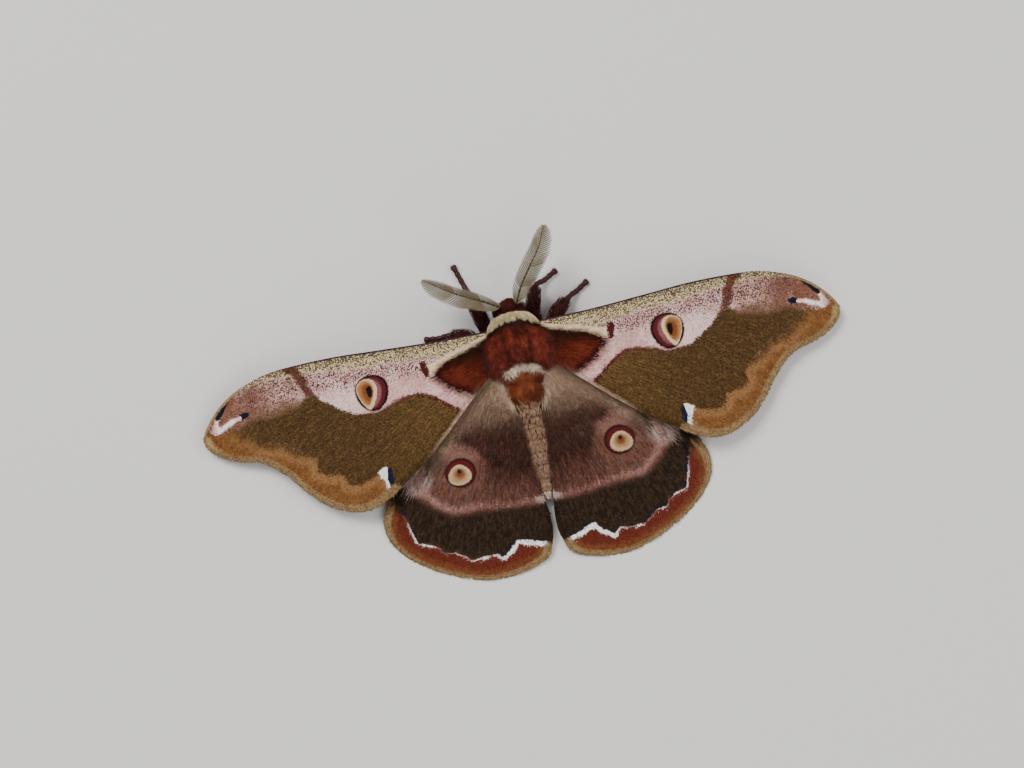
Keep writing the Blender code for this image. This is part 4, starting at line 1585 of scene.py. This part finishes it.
    def long_hair(self, finish: Material) -> None:
        """Grows the long hair of the wing's base: maroon on the forewing, greyish on the hindwing.

        Args:
            finish: its material.
        """
        seed, count = self.seed(WING_HAIR), self.form.hair_count
        rng = np.random.default_rng(seed)
        u = rng.uniform(0.005, 1.0, count * 6) ** 1.3
        v = rng.uniform(0.005, 0.995, count * 6)
        keep = np.flatnonzero(self.hair_wanted(self.plan(u * self.reach, v), rng))[:count]
        spots = np.column_stack([u, v])[keep]
        lay = WING_HAIR.draw(rng, len(spots), seed)
        lay.turn = lay.turn + read_along(self.form.hair_turns, spots[:, 1])
        lay.length = lay.length * self.form.hair_length
        self.coat("hair", finish, spots, lay)


FOREWING_VEINS = (
    (0.08, 0.0), (0.19, 0.0), (0.31, 0.47), (0.43, 0.47), (0.55, 0.0), (0.68, 0.36), (0.80, 0.24),
    (0.92, 0.0),
)
HINDWING_VEINS = (
    (0.09, 0.0), (0.21, 0.0), (0.33, 0.42), (0.45, 0.42), (0.57, 0.0), (0.69, 0.30), (0.81, 0.18),
    (0.92, 0.0),
)
FOREWING_ROOT = ((4.0, 3.3), (4.3, 1.8), (4.4, 0.35), (4.3, -1.1), (4.0, -2.6))
HINDWING_ROOT = ((4.3, -1.2), (4.3, -2.0), (4.1, -2.8), (3.7, -3.6), (3.2, -4.4))


FOREWING = WingForm(
    WingKind.FORE, "forewing_olive", FOREWING_ROOT, (FOREWING_ROOT[0], *FOREWING_COSTA),
    FOREWING_OUTER, (FOREWING_ROOT[-1], *FOREWING_INNER), FOREWING_VEINS, cell_end=0.47, span=46.0,
    spot=FORE_SPOT.middle, scale_count=10000, hair_count=2800, hair_length=1.5,
    hair_turns=(-0.25, 0.15), seed=102,
)
HINDWING = WingForm(
    WingKind.HIND, "hindwing_rose", HINDWING_ROOT, (HINDWING_ROOT[0], *HINDWING_COSTA),
    HINDWING_OUTER, (HINDWING_ROOT[-1], *HINDWING_INNER), HINDWING_VEINS, cell_end=0.42, span=30.0,
    spot=HIND_SPOT.middle, scale_count=8500, hair_count=6200, hair_length=2.4,
    hair_turns=(-0.15, 0.35), seed=104,
)


def make_wings() -> None:
    """Builds the four wings with their scales, fringes and hair."""
    kinds = (
        (FOREWING, ForewingMarks(FOREWING), ForewingFinish().material),
        (HINDWING, HindwingMarks(HINDWING), HindwingFinish().material),
    )
    for side in Side:
        for form, marks, finish in kinds:
            wing = Wing(form, side, marks)
            wing.membrane(finish)
            wing.scales(finish)
            wing.fringe(finish)
            wing.long_hair(finish)


# Trunk

TRUNK_SECTIONS = (
    (7.85, 0.35, 0.4, 3.8), (7.6, 0.95, 1.05, 3.85), (7.2, 1.6, 1.65, 4.0), (6.5, 2.05, 2.0, 4.25),
    (5.9, 2.1, 2.1, 4.45), (5.4, 2.1, 2.2, 4.6), (5.05, 2.6, 2.6, 4.8), (4.45, 3.9, 3.8, 4.9),
    (3.9, 4.3, 4.25, 4.8), (3.1, 4.35, 4.5, 4.7), (1.7, 4.4, 4.75, 4.6), (0.0, 4.4, 4.8, 4.6),
    (-2.0, 4.35, 4.5, 4.55), (-3.6, 4.1, 3.85, 4.45), (-4.85, 3.6, 3.35, 4.25), (-7.0, 2.95, 2.9, 4.05),
    (-10.0, 2.4, 2.5, 3.7), (-14.0, 2.05, 2.15, 3.1), (-18.0, 1.7, 1.8, 2.5), (-21.0, 1.2, 1.3, 2.0),
    (-22.4, 0.55, 0.6, 1.7), (-22.75, 0.2, 0.2, 1.65),
)


@dataclass(frozen=True)
class FurRegion:
    """Where a stretch of fur grows and how it lies. Places are on Y, turns are shares of a circle.

    A stretch that both sides have is given for the right side, with a left seed of its own.
    """

    places: tuple[float, float]
    count: int
    length: float
    width: float = 0.12
    lift: float = 0.4
    turns: tuple[float, float] = (0.0, 1.0)
    turn: float = 0.0
    wild: float = 0.22
    fan: float = 0.0
    bow: float = 0.0
    rear_bow: float = 0.0
    seed: int = 1
    left_seed: int = 0
    shape: TuftShape = LOCK
    lock: float = 14.0
    pull: float = 0.6
    droop: float = 2.4

    def sides(self, name: str) -> dict[str, "FurRegion"]:
        """Gives a region with a left seed its mirror image.

        Args:
            name: the region's name.

        Returns:
            The region by its name, or its right and left sides by theirs.
        """
        if not self.left_seed:
            return {name: self}
        first, last = self.turns
        left = replace(self, turns=(0.5 - last, 0.5 - first), turn=-self.turn, seed=self.left_seed)
        return {name + "_right": self, name + "_left": left}


@dataclass
class Trunk(Surface):
    """The head, collar, thorax and abdomen as one skin, a coat's depth inside their solids."""

    sections: Path = TRUNK_SECTIONS
    coat_depth: float = 0.55
    front_bend: float = 0.07
    rings: int = 150
    sides: int = 64
    segments: int = 8
    abdomen_from: float = -4.85
    abdomen_length: float = 17.75
    face: float = 7.9
    length: float = 30.7

    def at(self, u: Array, v: Array) -> Array:
        """Places on the skin: u from the face to the tail, v round from the right side upwards.

        Args:
            u: shares along the surface.
            v: shares across or round it.

        Returns:
            A row for each place.
        """
        rows = curve_at(self.sections, np.clip(u, 0, 1))
        place, wide, high, centre = rows.T
        depth = np.minimum(self.coat_depth, np.minimum(wide, high) * 0.35)
        ring = ease(-place, 4.8, 6.0) * (1 - ease(-place, 20.5, 22.0))
        along = (place - self.abdomen_from) / self.abdomen_length
        wave = 0.10 * ring * np.abs(np.sin(math.pi * along * self.segments))
        turn = TAU * v
        raised = wave - depth + self.swell(place, v)
        x = (wide + raised) * np.cos(turn)
        z = centre + (high + raised) * np.sin(turn)
        bow = self.front_bend * np.clip((place + 4.0) / 7.9, 0, 1) ** 0.5 * ease(5.3 - place, 0.0, 1.0)
        return np.column_stack([x, place - bow * x * x, np.maximum(z, 0.02)])

    def swell(self, place: Array, v: Array) -> Array:
        """How far the shoulder flaps and the crest between them raise the thorax.

        Args:
            place: places along the body.
            v: shares across or round it.

        Returns:
            A height for each place.
        """
        from_top = np.abs(v * 360 - 90)
        flaps = 0.50 * np.exp(-(((from_top - 48) / 14) ** 2))
        crest = 0.34 * np.exp(-((from_top / 15) ** 2))
        return (flaps + crest) * ease(place, -3.4, -1.6) * (1 - ease(place, 2.4, 3.4))

    def frame_at(self, u: Array, v: Array) -> tuple[Array, Array, Array]:
        """Places, outward normals and directions to the tail.

        Args:
            u: shares along the surface.
            v: shares across or round it.

        Returns:
            The three, with a row for each place.
        """
        here, normals, back = super().frame_at(np.clip(u, 0.004, 0.996), v)
        height = np.interp(-here[:, 1], [-9, 5, 23], [4.4, 4.3, 1.8])
        middle = np.column_stack([here[:, 0] * 0, here[:, 1], height])
        flip = np.sign(np.sum(normals * (here - middle), axis=1, keepdims=True))
        return here, normals * np.where(flip == 0, 1, flip), back

    def share_at(self, places: Array) -> Array:
        """How far along the skin each place on Y is.

        Args:
            places: places along the body.

        Returns:
            The shares.
        """
        shares = np.linspace(0, 1, 400)
        rows = curve_at(self.sections, shares)
        return np.interp(-places, -rows[:, 0], shares)

    def skin(self, finish: Material) -> Piece:
        """Builds the skin, which stands for the trunk's four nodes.

        Args:
            finish: its material.

        Returns:
            The piece.
        """
        shares = np.linspace(0.0, 1.0, self.rings)
        turns = (np.arange(self.sides) + 0.5) / self.sides
        rings = [self.at(np.full(self.sides, s), turns) for s in shares]
        bm = sweep(rings)
        ends = [f for f in bm.faces if len(f.verts) > 4]
        bmesh.ops.poke(bm, faces=ends)
        bmesh.ops.recalc_face_normals(bm, faces=bm.faces)
        mesh = mesh_of("trunk_skin", bm)
        place = places_of(mesh)
        turn = (np.arctan2(place[:, 2] - 4.0, place[:, 0]) / TAU) % 1.0
        along = np.clip((self.face - place[:, 1]) / self.length, 0, 1)
        set_uv(mesh, BAKE_MAP, np.column_stack([along, turn]))
        piece = place_mesh("trunk_skin", mesh, finish)
        return settle(piece, "fur_maroon", ["head", "collar", "thorax", "abdomen"])

    def fur(
        self, name: str, slot: str, finish: Material, region: FurRegion,
    ) -> Piece:
        """Grows one region's fur.

        Args:
            name: the piece's name.
            slot: the record's material slot.
            finish: the fur's material.
            region: where it grows and how it lies.

        Returns:
            The fur's piece.
        """
        rng = np.random.default_rng(region.seed)
        count = region.count
        v = rng.uniform(*region.turns, count)
        bow = np.cos(TAU * v) ** 2
        front, back = region.places[0] - region.bow * bow, region.places[1] - region.rear_bow * bow
        u = self.share_at(front + rng.uniform(0, 1, count) * (back - front))
        roots, normals, to_tail = self.frame_at(u, v)
        round_it = np.cross(normals, to_tail)
        turn = rng.normal(region.turn, region.wild, count) + region.fan * np.cos(TAU * v)
        clump = np.sin(roots[:, 0] * 2.1 + 1.3 * np.sin(roots[:, 1] * 1.1)) * 0.12
        ways = round_about(turn, to_tail, round_it) + round_it * clump[:, None]
        long = region.length * rng.uniform(0.75, 1.15, count)
        coat = Coat(
            name, roots, normals, unit(ways), np.column_stack([u, v % 1.0]), long,
            region.width * rng.uniform(0.75, 1.3, count), region.lift * rng.uniform(0.6, 1.2, count),
            region.shape, region.seed + 1, lock=region.lock, pull=region.pull, droop=region.droop,
        )
        return coat.grow(finish, slot)


# the thorax's fur, with painted shade in its grooves and a painted shadow behind the collar
MAROON_FUR = FurFinish(
    "maroon_fur", (0.030, 0.004, 0.003), (0.262, 0.043, 0.021), (0.108, 0.014, 0.008), 0.4,
    grooves=(1.75,), dusky_from=2.4,
)
DARK_FUR = FurFinish("head_fur", (0.018, 0.003, 0.002), (0.125, 0.017, 0.010), (0.050, 0.007, 0.005))
CREAM_FUR = FurFinish("cream_fur", (0.24, 0.17, 0.08), (0.76, 0.64, 0.38), (0.56, 0.45, 0.25), 0.3)
WHITE_FUR = FurFinish("white_fur", (0.26, 0.14, 0.085), (0.92, 0.77, 0.60), (0.66, 0.48, 0.35), 0.25, 0.5)
ORANGE_FUR = FurFinish(
    "orange_fur", (0.060, 0.009, 0.003), (0.37, 0.100, 0.030), (0.155, 0.028, 0.009), 0.35,
)
TAN_FUR = FurFinish(
    "tan_fur", (0.175, 0.090, 0.050), (0.45, 0.285, 0.180), (0.34, 0.200, 0.122), 0.25, 0.5,
    bars=(-10.8, -12.4, -14.1, -16.1, -18.0, -19.9),
)
ROSE_FUR = FurFinish("rose_fur", (0.035, 0.015, 0.011), (0.17, 0.090, 0.062), (0.080, 0.033, 0.022), 0.35)
PALE_FUR = FurFinish("pale_fur", (0.23, 0.135, 0.088), (0.74, 0.56, 0.40), (0.46, 0.31, 0.21), 0.4)

FUR_REGIONS: dict[str, tuple[str, FurFinish, FurRegion]] = {
    "face_fur": ("fur_maroon", DARK_FUR, FurRegion((7.8, 5.3), 4200, 1.0, lift=0.3, seed=11)),
    "head_tuft": ("fur_maroon", DARK_FUR, FurRegion(
        (7.1, 5.5), 900, 1.15, lift=0.7, turns=(0.15, 0.35), turn=math.pi, wild=0.6, seed=12)),
    "brow": ("fur_maroon", DARK_FUR, FurRegion(
        (7.2, 5.6), 900, 1.75, lift=0.6, turns=(0.06, 0.17), turn=1.15, seed=31, left_seed=32,
        shape=TRESS)),
    "collar_fur": ("fur_cream", CREAM_FUR, FurRegion(
        (5.0, 4.15), 4200, 1.25, width=0.12, lift=0.5, turns=(0.04, 0.46), wild=0.4, seed=13, lock=18.0,
        pull=0.75, shape=TRESS)),
    "throat_fur": ("fur_maroon", DARK_FUR, FurRegion(
        (5.2, 3.2), 2600, 1.2, width=0.16, turns=(0.44, 1.06), seed=14)),
    "thorax_fur": ("fur_maroon", MAROON_FUR, FurRegion(
        (3.7, -1.6), 14500, 1.9, width=0.10, lift=0.42, turns=(0.05, 0.45), wild=0.22, fan=0.5,
        rear_bow=0.9, seed=15, lock=20.0, pull=0.72, shape=TRESS)),
    "shoulder_fur": ("fur_maroon", MAROON_FUR, FurRegion(
        (2.9, -2.6), 5500, 3.3, width=0.10, lift=0.45, turns=(0.04, 0.15), wild=0.25, turn=1.05, seed=26,
        left_seed=24, shape=TRESS, lock=20.0, pull=0.7)),
    "belly_fur": ("fur_maroon", DARK_FUR, FurRegion(
        (3.0, -4.4), 2200, 1.3, width=0.16, turns=(0.5, 1.0), seed=16)),
    "white_band_fur": ("fur_cream", WHITE_FUR, FurRegion(
        (-2.4, -3.1), 1700, 1.75, width=0.10, lift=0.52, turns=(0.02, 0.48), wild=0.50, fan=0.55, bow=1.2,
        rear_bow=1.2, seed=17, shape=TRESS, lock=8.0, pull=0.95, droop=2.0)),
    "base_hair": ("fur_tan", PALE_FUR, FurRegion(
        (-2.8, -6.6), 4200, 5.2, width=0.11, lift=0.64, turns=(0.035, 0.13), wild=0.34, turn=0.85,
        seed=33, left_seed=34, shape=TRESS, lock=20.0, pull=0.6)),
    "orange_tuft": ("fur_tan", ORANGE_FUR, FurRegion(
        (-3.0, -6.9), 8600, 2.9, width=0.09, lift=0.42, turns=(0.06, 0.44), wild=0.38, fan=0.40, seed=18,
        shape=TRESS, lock=16.0, pull=0.75, droop=2.2)),
    "flank_fur": ("fur_tan", ROSE_FUR, FurRegion(
        (-5.0, -20.0), 3600, 2.0, width=0.10, lift=0.35, turns=(-0.02, 0.10), wild=0.22, turn=0.05,
        seed=23, left_seed=21)),
    "abdomen_fur": ("fur_tan", TAN_FUR, FurRegion(
        (-6.0, -22.3), 8800, 0.95, width=0.10, lift=0.26, seed=19)),
    "tail_tuft": ("fur_tan", WHITE_FUR, FurRegion(
        (-21.4, -22.4), 260, 1.0, width=0.09, lift=0.3, turns=(0.1, 0.4), seed=20)),
}


def make_trunk() -> None:
    """Builds the trunk's skin and its fur, region by region."""
    trunk = Trunk()
    trunk.skin(SkinFinish("trunk_skin", (0.05, 0.012, 0.006)).material())
    materials: dict[str, Material] = {}
    for name, (slot, finish, region) in FUR_REGIONS.items():
        if finish.name not in materials:
            materials[finish.name] = finish.material()
        for piece, stretch in region.sides(name).items():
            trunk.fur(piece, slot, materials[finish.name], stretch)


# Eyes, feelers and legs


@dataclass(frozen=True)
class EyeFinish:
    """Near black and glossy, with a fine mesh of facets."""

    colour: Colour = (0.014, 0.008, 0.006)
    facets: float = 11.0

    def material(self) -> Material:
        """Builds the eye's material.

        Returns:
            The material.
        """
        shader = Shader("compound_eye", 0.22, self.colour)
        edge, chance = shader.cells(shader.millimetres(), self.facets)
        shader.shade(chance, 0.7, 1.5)
        shader.bump(edge, 0.35, 0.02)
        shader.surface.inputs["Coat Weight"].default_value = 0.4
        return shader.done(specular=0.5)


@dataclass(frozen=True)
class CombFinish:
    """The finish of the feelers' branches: greyish buff, a little uneven."""

    dark: Colour = (0.110, 0.086, 0.050)
    light: Colour = (0.25, 0.205, 0.128)

    def material(self) -> Material:
        """Builds the branches' material.

        Returns:
            The material.
        """
        shader = Shader("feeler_comb", 0.6, self.dark)
        place = shader.millimetres()
        shader.paint(self.light, shader.noise(place, 0.5, 1.0), 0.9)
        shader.shade(shader.noise(place, 9.0, 1.0), 0.8, 1.2)
        return shader.done()


@dataclass(frozen=True)
class ShaftFinish:
    """The finish of the feelers' shafts: nearly black, with buff scales between the joints."""

    dark: Colour = (0.018, 0.009, 0.006)
    light: Colour = (0.18, 0.12, 0.07)

    def material(self) -> Material:
        """Builds the shaft's material.

        Returns:
            The material.
        """
        shader = Shader("feeler_shaft", 0.5, self.dark)
        scaly = shader.step(shader.noise(shader.millimetres(), 3.2, 2.0), 0.60, 0.05)
        shader.paint(self.light, scaly, 0.6)
        return shader.done()


@dataclass
class Eye:
    """One compound eye."""

    side: Side
    radius: float = 1.0
    place: tuple[float, float, float] = (1.7, 6.3, 4.5)

    def build(self, finish: Material) -> Piece:
        """Builds the eye as a smooth ball.

        Args:
            finish: its material.

        Returns:
            The piece.
        """
        bm = bmesh.new()
        bmesh.ops.create_icosphere(bm, subdivisions=5, radius=self.radius)
        x, y, z = self.place
        bmesh.ops.translate(bm, verts=bm.verts, vec=(x * self.side.value, y, z))
        name = f"eye_{self.side.word}"
        return settle(make_object(name + "_ball", bm, finish), "eye_black", [name])


@dataclass(frozen=True)
class Branch:
    """Where one of a feeler's branches starts, its directions, and how far it reaches."""

    hand: int
    root: Array
    forth: Array
    across: Array
    normal: Array
    reach: float
    lean: float
    curl: float

    def path(self) -> Array:
        """The branch's middle line: it leans forward, more so at its tip, and rises a little.

        Returns:
            Its points.
        """
        steps = np.linspace(0, 1, 8)
        lean = np.radians(self.lean - self.curl * steps)
        ways = self.hand * np.sin(lean)[:, None] * self.across + np.cos(lean)[:, None] * self.forth
        path = self.root + np.cumsum(ways * (self.reach / 8), axis=0) - ways[0] * self.reach / 8
        return path + self.normal * (0.3 * np.sin(steps * 1.9) * min(self.reach / 2, 1.0))[:, None]


@dataclass
class Antenna:
    """One feathered feeler: a jointed shaft, and two rows of long fine branches on each side."""

    side: Side
    knots: Path
    roll: float
    widths: tuple[float, float]
    joints: int = 19
    start: float = 0.07
    profile: tuple[float, ...] = (0.50, 0.78, 0.94, 1.0, 1.0, 0.98, 0.93, 0.82, 0.60, 0.20)
    shaft: tuple[float, ...] = (0.20, 0.18, 0.16, 0.13, 0.10, 0.07)
    radii: tuple[float, ...] = (0.135, 0.13, 0.12, 0.10, 0.045)
    lean: float = 62.0
    curl: float = 22.0

    def shaft_mesh(self) -> BMesh:
        """The shaft, with a bead at each joint.

        Returns:
            The closed bmesh.
        """
        shares = np.linspace(0, 1, self.joints * 6 + 1)
        path = curve_at(self.knots, shares)
        beads = 1 + 0.24 * np.cos(shares * self.joints * TAU)
        return tube(path, read_along(self.shaft, shares) * beads, 10)

    def branches(self) -> list[Branch]:
        """The branches, two pairs to each joint.

        Returns:
            The branches.
        """
        rng = np.random.default_rng(50 + self.side.value)
        made = []
        for share in np.linspace(self.start, 0.99, self.joints * 2):
            here, ahead = curve_at(self.knots, np.array([share - 0.004, share + 0.004]))
            forth = unit(ahead - here)
            roll = Matrix.Rotation(math.radians(self.roll), 3, Vector(forth))
            across = np.array(roll @ Vector(beside(forth)[0]))
            place = (share - self.start) / (0.99 - self.start)
            fullness = float(read_along(self.profile, place))
            for hand, width in zip((1, -1), self.widths):
                slant = math.sin(math.radians(self.lean - self.curl / 2))
                reach = width * fullness * rng.uniform(0.96, 1.03) / slant
                over = np.cross(across, forth)
                made.append(Branch(hand, here, forth, across, over, reach, self.lean, self.curl))
        return made

    def build(self, horn: Material, finish: Material) -> None:
        """Builds the feeler: its dark shaft, and its comb.

        Args:
            horn: the shaft's material.
            finish: its material.
        """
        name = f"antenna_{self.side.word}"
        settle(make_object(name + "_shaft", self.shaft_mesh(), horn), "antenna_buff", [name])
        comb = joined(tube(branch.path(), self.radii, 5, point=True) for branch in self.branches())
        settle(make_object(name + "_comb", comb, finish), "antenna_buff")


@dataclass
class Leg:
    """One leg: a furry thigh and shin, and a thin jointed foot with claws."""

    name: str
    knots: Path
    radii: tuple[float, ...] = (0.46, 0.56, 0.66, 0.70, 0.64, 0.48, 0.36, 0.33, 0.33, 0.32, 0.34)
    pad_radii: tuple[float, ...] = (0.32, 0.40, 0.52, 0.58, 0.50, 0.26)
    claw_radii: tuple[float, ...] = (0.07, 0.06, 0.045, 0.02)
    foot_from: float = 0.58
    fur_count: int = 2000
    joints: int = 5

    def path(self, shares: Array) -> Array:
        """Places on the leg's middle line."""
        return curve_at(self.knots, shares)

    def build(self, skin: Material, fur: Material) -> None:
        """Builds the leg's skin and its fur.

        Args:
            skin: the skin's material.
            fur: the fur's material.
        """
        shares = np.linspace(0, 1, 120)
        foot = np.clip((shares - self.foot_from) / (1 - self.foot_from), 0, 1)
        beads = 1 + 0.45 * (foot * self.joints % 1.0) * (foot > 0)
        radii = read_along(self.radii, shares) * beads
        path = self.path(shares)
        path[:, 2] = np.maximum(path[:, 2], radii + 0.01)
        leg = tube(path, radii, 12)
        whole = joined([leg, self.pad(path), *self.claws(path)])
        for vert in whole.verts:
            vert.co.z = max(vert.co.z, LOW[2])
        settle(make_object(self.name + "_skin", whole, skin), "leg_maroon", [self.name])
        self.grow_fur(fur)

    def pad(self, path: Array) -> BMesh:
        """The flared last joint of the foot.

        Args:
            path: the leg's middle line.

        Returns:
            The closed bmesh.
        """
        end, way = path[-1], unit(path[-1] - path[-4])
        rings = [end + way * step for step in np.linspace(-0.5, 0.35, 6)]
        return tube(np.array(rings), self.pad_radii, 10)

    def claws(self, path: Array) -> list[BMesh]:
        """Two small hooked claws at the end of the foot.

        Args:
            path: the leg's middle line.

        Returns:
            The two bmeshes.
        """
        end, way = path[-1], unit(path[-1] - path[-3])
        across, _ = beside(way)
        made = []
        for hand in (1, -1):
            steps = np.linspace(0, 1, 6)[:, None]
            hook = end + way * (0.2 + 0.4 * steps) + across * hand * (0.15 + 0.25 * steps)
            hook[:, 2] = np.maximum(end[2] - 0.16 * steps[:, 0] ** 2, 0.05)
            made.append(tube(hook, self.claw_radii, 6, point=True))
        return made

    def grow_fur(self, finish: Material) -> None:
        """Grows the leg's fur: long on thigh and shin, and short on the foot.

        Args:
            finish: the fur's material.
        """
        rng = np.random.default_rng(sum(map(ord, self.name)))
        count = self.fur_count
        share = rng.uniform(0.02, 0.985, count)
        turn = rng.uniform(0, TAU, count)
        here, ahead = self.path(share), self.path(share + 0.01)
        forth = unit(ahead - here)
        normal = round_about(turn, *beside(forth))
        radius = read_along(self.radii, share)
        on_foot = ease(share, self.foot_from - 0.10, self.foot_from + 0.02)
        roots = here + normal * (radius * 0.9)[:, None]
        roots[:, 2] = np.maximum(roots[:, 2], 0.08)
        sideways = np.abs(np.cos(turn)) * (1 - on_foot)
        coat = Coat(
            self.name + "_fur", roots, normal, forth + 0.2 * normal, np.column_stack([share, turn / TAU]),
            (1.35 - 0.85 * on_foot) * rng.uniform(0.8, 1.2, count), rng.uniform(0.10, 0.16, count),
            (0.25 + 0.50 * sideways - 0.10 * on_foot) * rng.uniform(0.8, 1.1, count), LOCK, seed=count,
        )
        low = roots[:, 2] < 0.5
        coat.lift[low] = 0.03
        coat.grow(finish, "leg_maroon")


LEG_FUR = FurFinish("leg_fur", (0.020, 0.004, 0.003), (0.080, 0.013, 0.012), (0.035, 0.006, 0.005))
ANTENNA_KNOTS = {
    Side.RIGHT: (
        (1.05, 6.35, 5.75), (1.4, 6.7, 6.6), (2.4, 8.7, 7.2), (4.3, 11.4, 7.5), (6.35, 14.2, 7.9),
        (7.75, 17.2, 8.1),
    ),
    Side.LEFT: (
        (-1.05, 6.35, 5.75), (-1.5, 6.6, 6.6), (-4.2, 8.1, 7.1), (-7.6, 9.8, 7.4), (-12.0, 12.75, 7.7),
    ),
}
ANTENNA_ROLL = {Side.RIGHT: 0.0, Side.LEFT: -32.0}
ANTENNA_WIDTHS = {Side.RIGHT: (2.4, 1.8), Side.LEFT: (1.5, 2.4)}
LEG_KNOTS = {
    "foreleg_right": (
        (3.4, 2.9, 1.6), (3.7, 3.7, 1.5), (3.7, 6.2, 2.6), (4.8, 9.6, 1.9), (6.4, 10.6, 0.6),
        (8.3, 11.7, 0.26),
    ),
    "foreleg_left": (
        (-3.4, 2.9, 1.6), (-3.8, 3.7, 1.5), (-4.6, 6.8, 2.6), (-5.2, 9.6, 1.7), (-6.0, 12.3, 0.5),
        (-7.0, 15.6, 0.26),
    ),
    "midleg_right": (
        (4.6, 0.9, 2.1), (5.3, 1.4, 1.9), (6.9, 4.4, 2.8), (9.6, 7.0, 1.5), (11.0, 7.9, 0.5),
        (12.7, 9.0, 0.26),
    ),
    "midleg_left": (
        (-4.6, 0.9, 2.1), (-5.3, 1.4, 1.9), (-6.9, 3.6, 2.6), (-9.8, 4.9, 1.3), (-11.4, 5.0, 0.5),
        (-13.4, 5.2, 0.26),
    ),
    "hindleg_right": (
        (4.2, -2.4, 2.1), (4.9, -2.9, 1.9), (7.5, -4.6, 2.3), (9.6, -8.4, 1.3), (10.5, -10.2, 0.5),
        (11.6, -12.4, 0.26),
    ),
}
LEG_KNOTS["hindleg_left"] = tuple((-x, y, z) for x, y, z in LEG_KNOTS["hindleg_right"])


def make_limbs() -> None:
    """Builds the eyes, the feelers and the legs."""
    eye = EyeFinish().material()
    for side in Side:
        Eye(side).build(eye)
    horn, comb = ShaftFinish().material(), CombFinish().material()
    for side in Side:
        Antenna(side, ANTENNA_KNOTS[side], ANTENNA_ROLL[side], ANTENNA_WIDTHS[side]).build(horn, comb)
    skin = SkinFinish("leg_skin", (0.048, 0.010, 0.009), 0.45).material()
    fur = LEG_FUR.material()
    for name, knots in LEG_KNOTS.items():
        Leg(name, knots).build(skin, fur)


# Studio


@dataclass(frozen=True)
class Studio:
    """The floor, the light and the camera."""

    elevation: float = 80.0
    azimuth: float = -3.385
    roll: float = -8.585
    distance: float = 242.53
    target: tuple[float, float, float] = (-1.898, -4.995, 4.0)
    lens: float = 56.25
    sensor: float = 36.0
    floor_colour: Colour = (0.72, 0.71, 0.69)
    floor_size: float = 1500.0
    floor_drop: float = 0.02
    sky: Colour = (1.0, 0.98, 0.95)
    sky_strength: float = 0.35
    lamps: tuple[tuple[str, Colour, float, float], ...] = (
        ("key", (-0.25, 0.35, 0.6), 0.35, 5.0),
        ("fill", (0.45, -0.1, 0.5), 0.5, 2.0),
        ("rear", (0.0, -0.5, 0.35), 0.4, 1.2),
    )

    def camera(self) -> None:
        """Stands the camera where the photograph was taken from."""
        a, e, r = (math.radians(v) for v in (self.azimuth, self.elevation, self.roll))
        back = Vector((math.sin(a) * math.cos(e), -math.cos(a) * math.cos(e), math.sin(e)))
        up = Vector((-math.sin(a) * math.sin(e), math.cos(a) * math.sin(e), math.cos(e)))
        right = up.cross(back)
        turned = right * math.cos(r) + up * math.sin(r)
        top = up * math.cos(r) - right * math.sin(r)
        eye = (Vector(self.target) + back * self.distance) * MM
        data = bpy.data.cameras.new("camera")
        data.lens = self.lens
        data.sensor_width = self.sensor
        data.sensor_fit = "HORIZONTAL"
        data.clip_start = 0.005
        camera = bpy.data.objects.new("camera", data)
        camera.matrix_world = Matrix((
            (turned.x, top.x, back.x, eye.x),
            (turned.y, top.y, back.y, eye.y),
            (turned.z, top.z, back.z, eye.z),
            (0, 0, 0, 1),
        ))
        bpy.context.scene.collection.objects.link(camera)
        bpy.context.scene.camera = camera

    def floor(self) -> None:
        """Lays a plain pale floor."""
        bm = bmesh.new()
        bmesh.ops.create_grid(bm, x_segments=1, y_segments=1, size=self.floor_size)
        bmesh.ops.translate(bm, verts=bm.verts, vec=(0, 0, -self.floor_drop))
        shader = Shader("floor_paper", 0.9, self.floor_colour)
        make_object("floor", bm, shader.done())

    def light(self, name: str, place: Colour, size: float, power: float) -> None:
        """Hangs one soft square light that faces the moth.

        Args:
            name: the light's name.
            place: where it hangs, in metres.
            size: the length of its sides, in metres.
            power: its power in watts.
        """
        data = bpy.data.lights.new(name, "AREA")
        data.size = size
        data.energy = power
        lamp = bpy.data.objects.new(name, data)
        lamp.location = place
        lamp.rotation_euler = Vector(place).to_track_quat("Z", "Y").to_euler()
        bpy.context.scene.collection.objects.link(lamp)

    def build(self) -> None:
        """Sets up the studio."""
        self.camera()
        self.floor()
        for lamp in self.lamps:
            self.light(*lamp)
        world = bpy.data.worlds.new("studio")
        world.use_nodes = True
        sky = world.node_tree.nodes["Background"].inputs
        sky["Color"].default_value = (*self.sky, 1.0)
        sky["Strength"].default_value = self.sky_strength
        bpy.context.scene.world = world


def log_total() -> None:
    """Logs how many triangles the moth has, and how many its largest piece has."""
    meshes = [piece.data for piece in bpy.data.objects if piece.type == "MESH"]
    counts = [len(mesh.loops) - 2 * len(mesh.polygons) for mesh in meshes]
    LOG.info("triangles: %d in all, %d in the largest piece", sum(counts), max(counts))


def main() -> None:
    """Builds the studio and the moth."""
    logging.basicConfig(level=logging.INFO, format="%(name)s %(message)s")
    Studio().build()
    make_wings()
    make_trunk()
    make_limbs()
    bpy.context.view_layer.update()
    log_total()


if __name__ == "__main__":
    main()
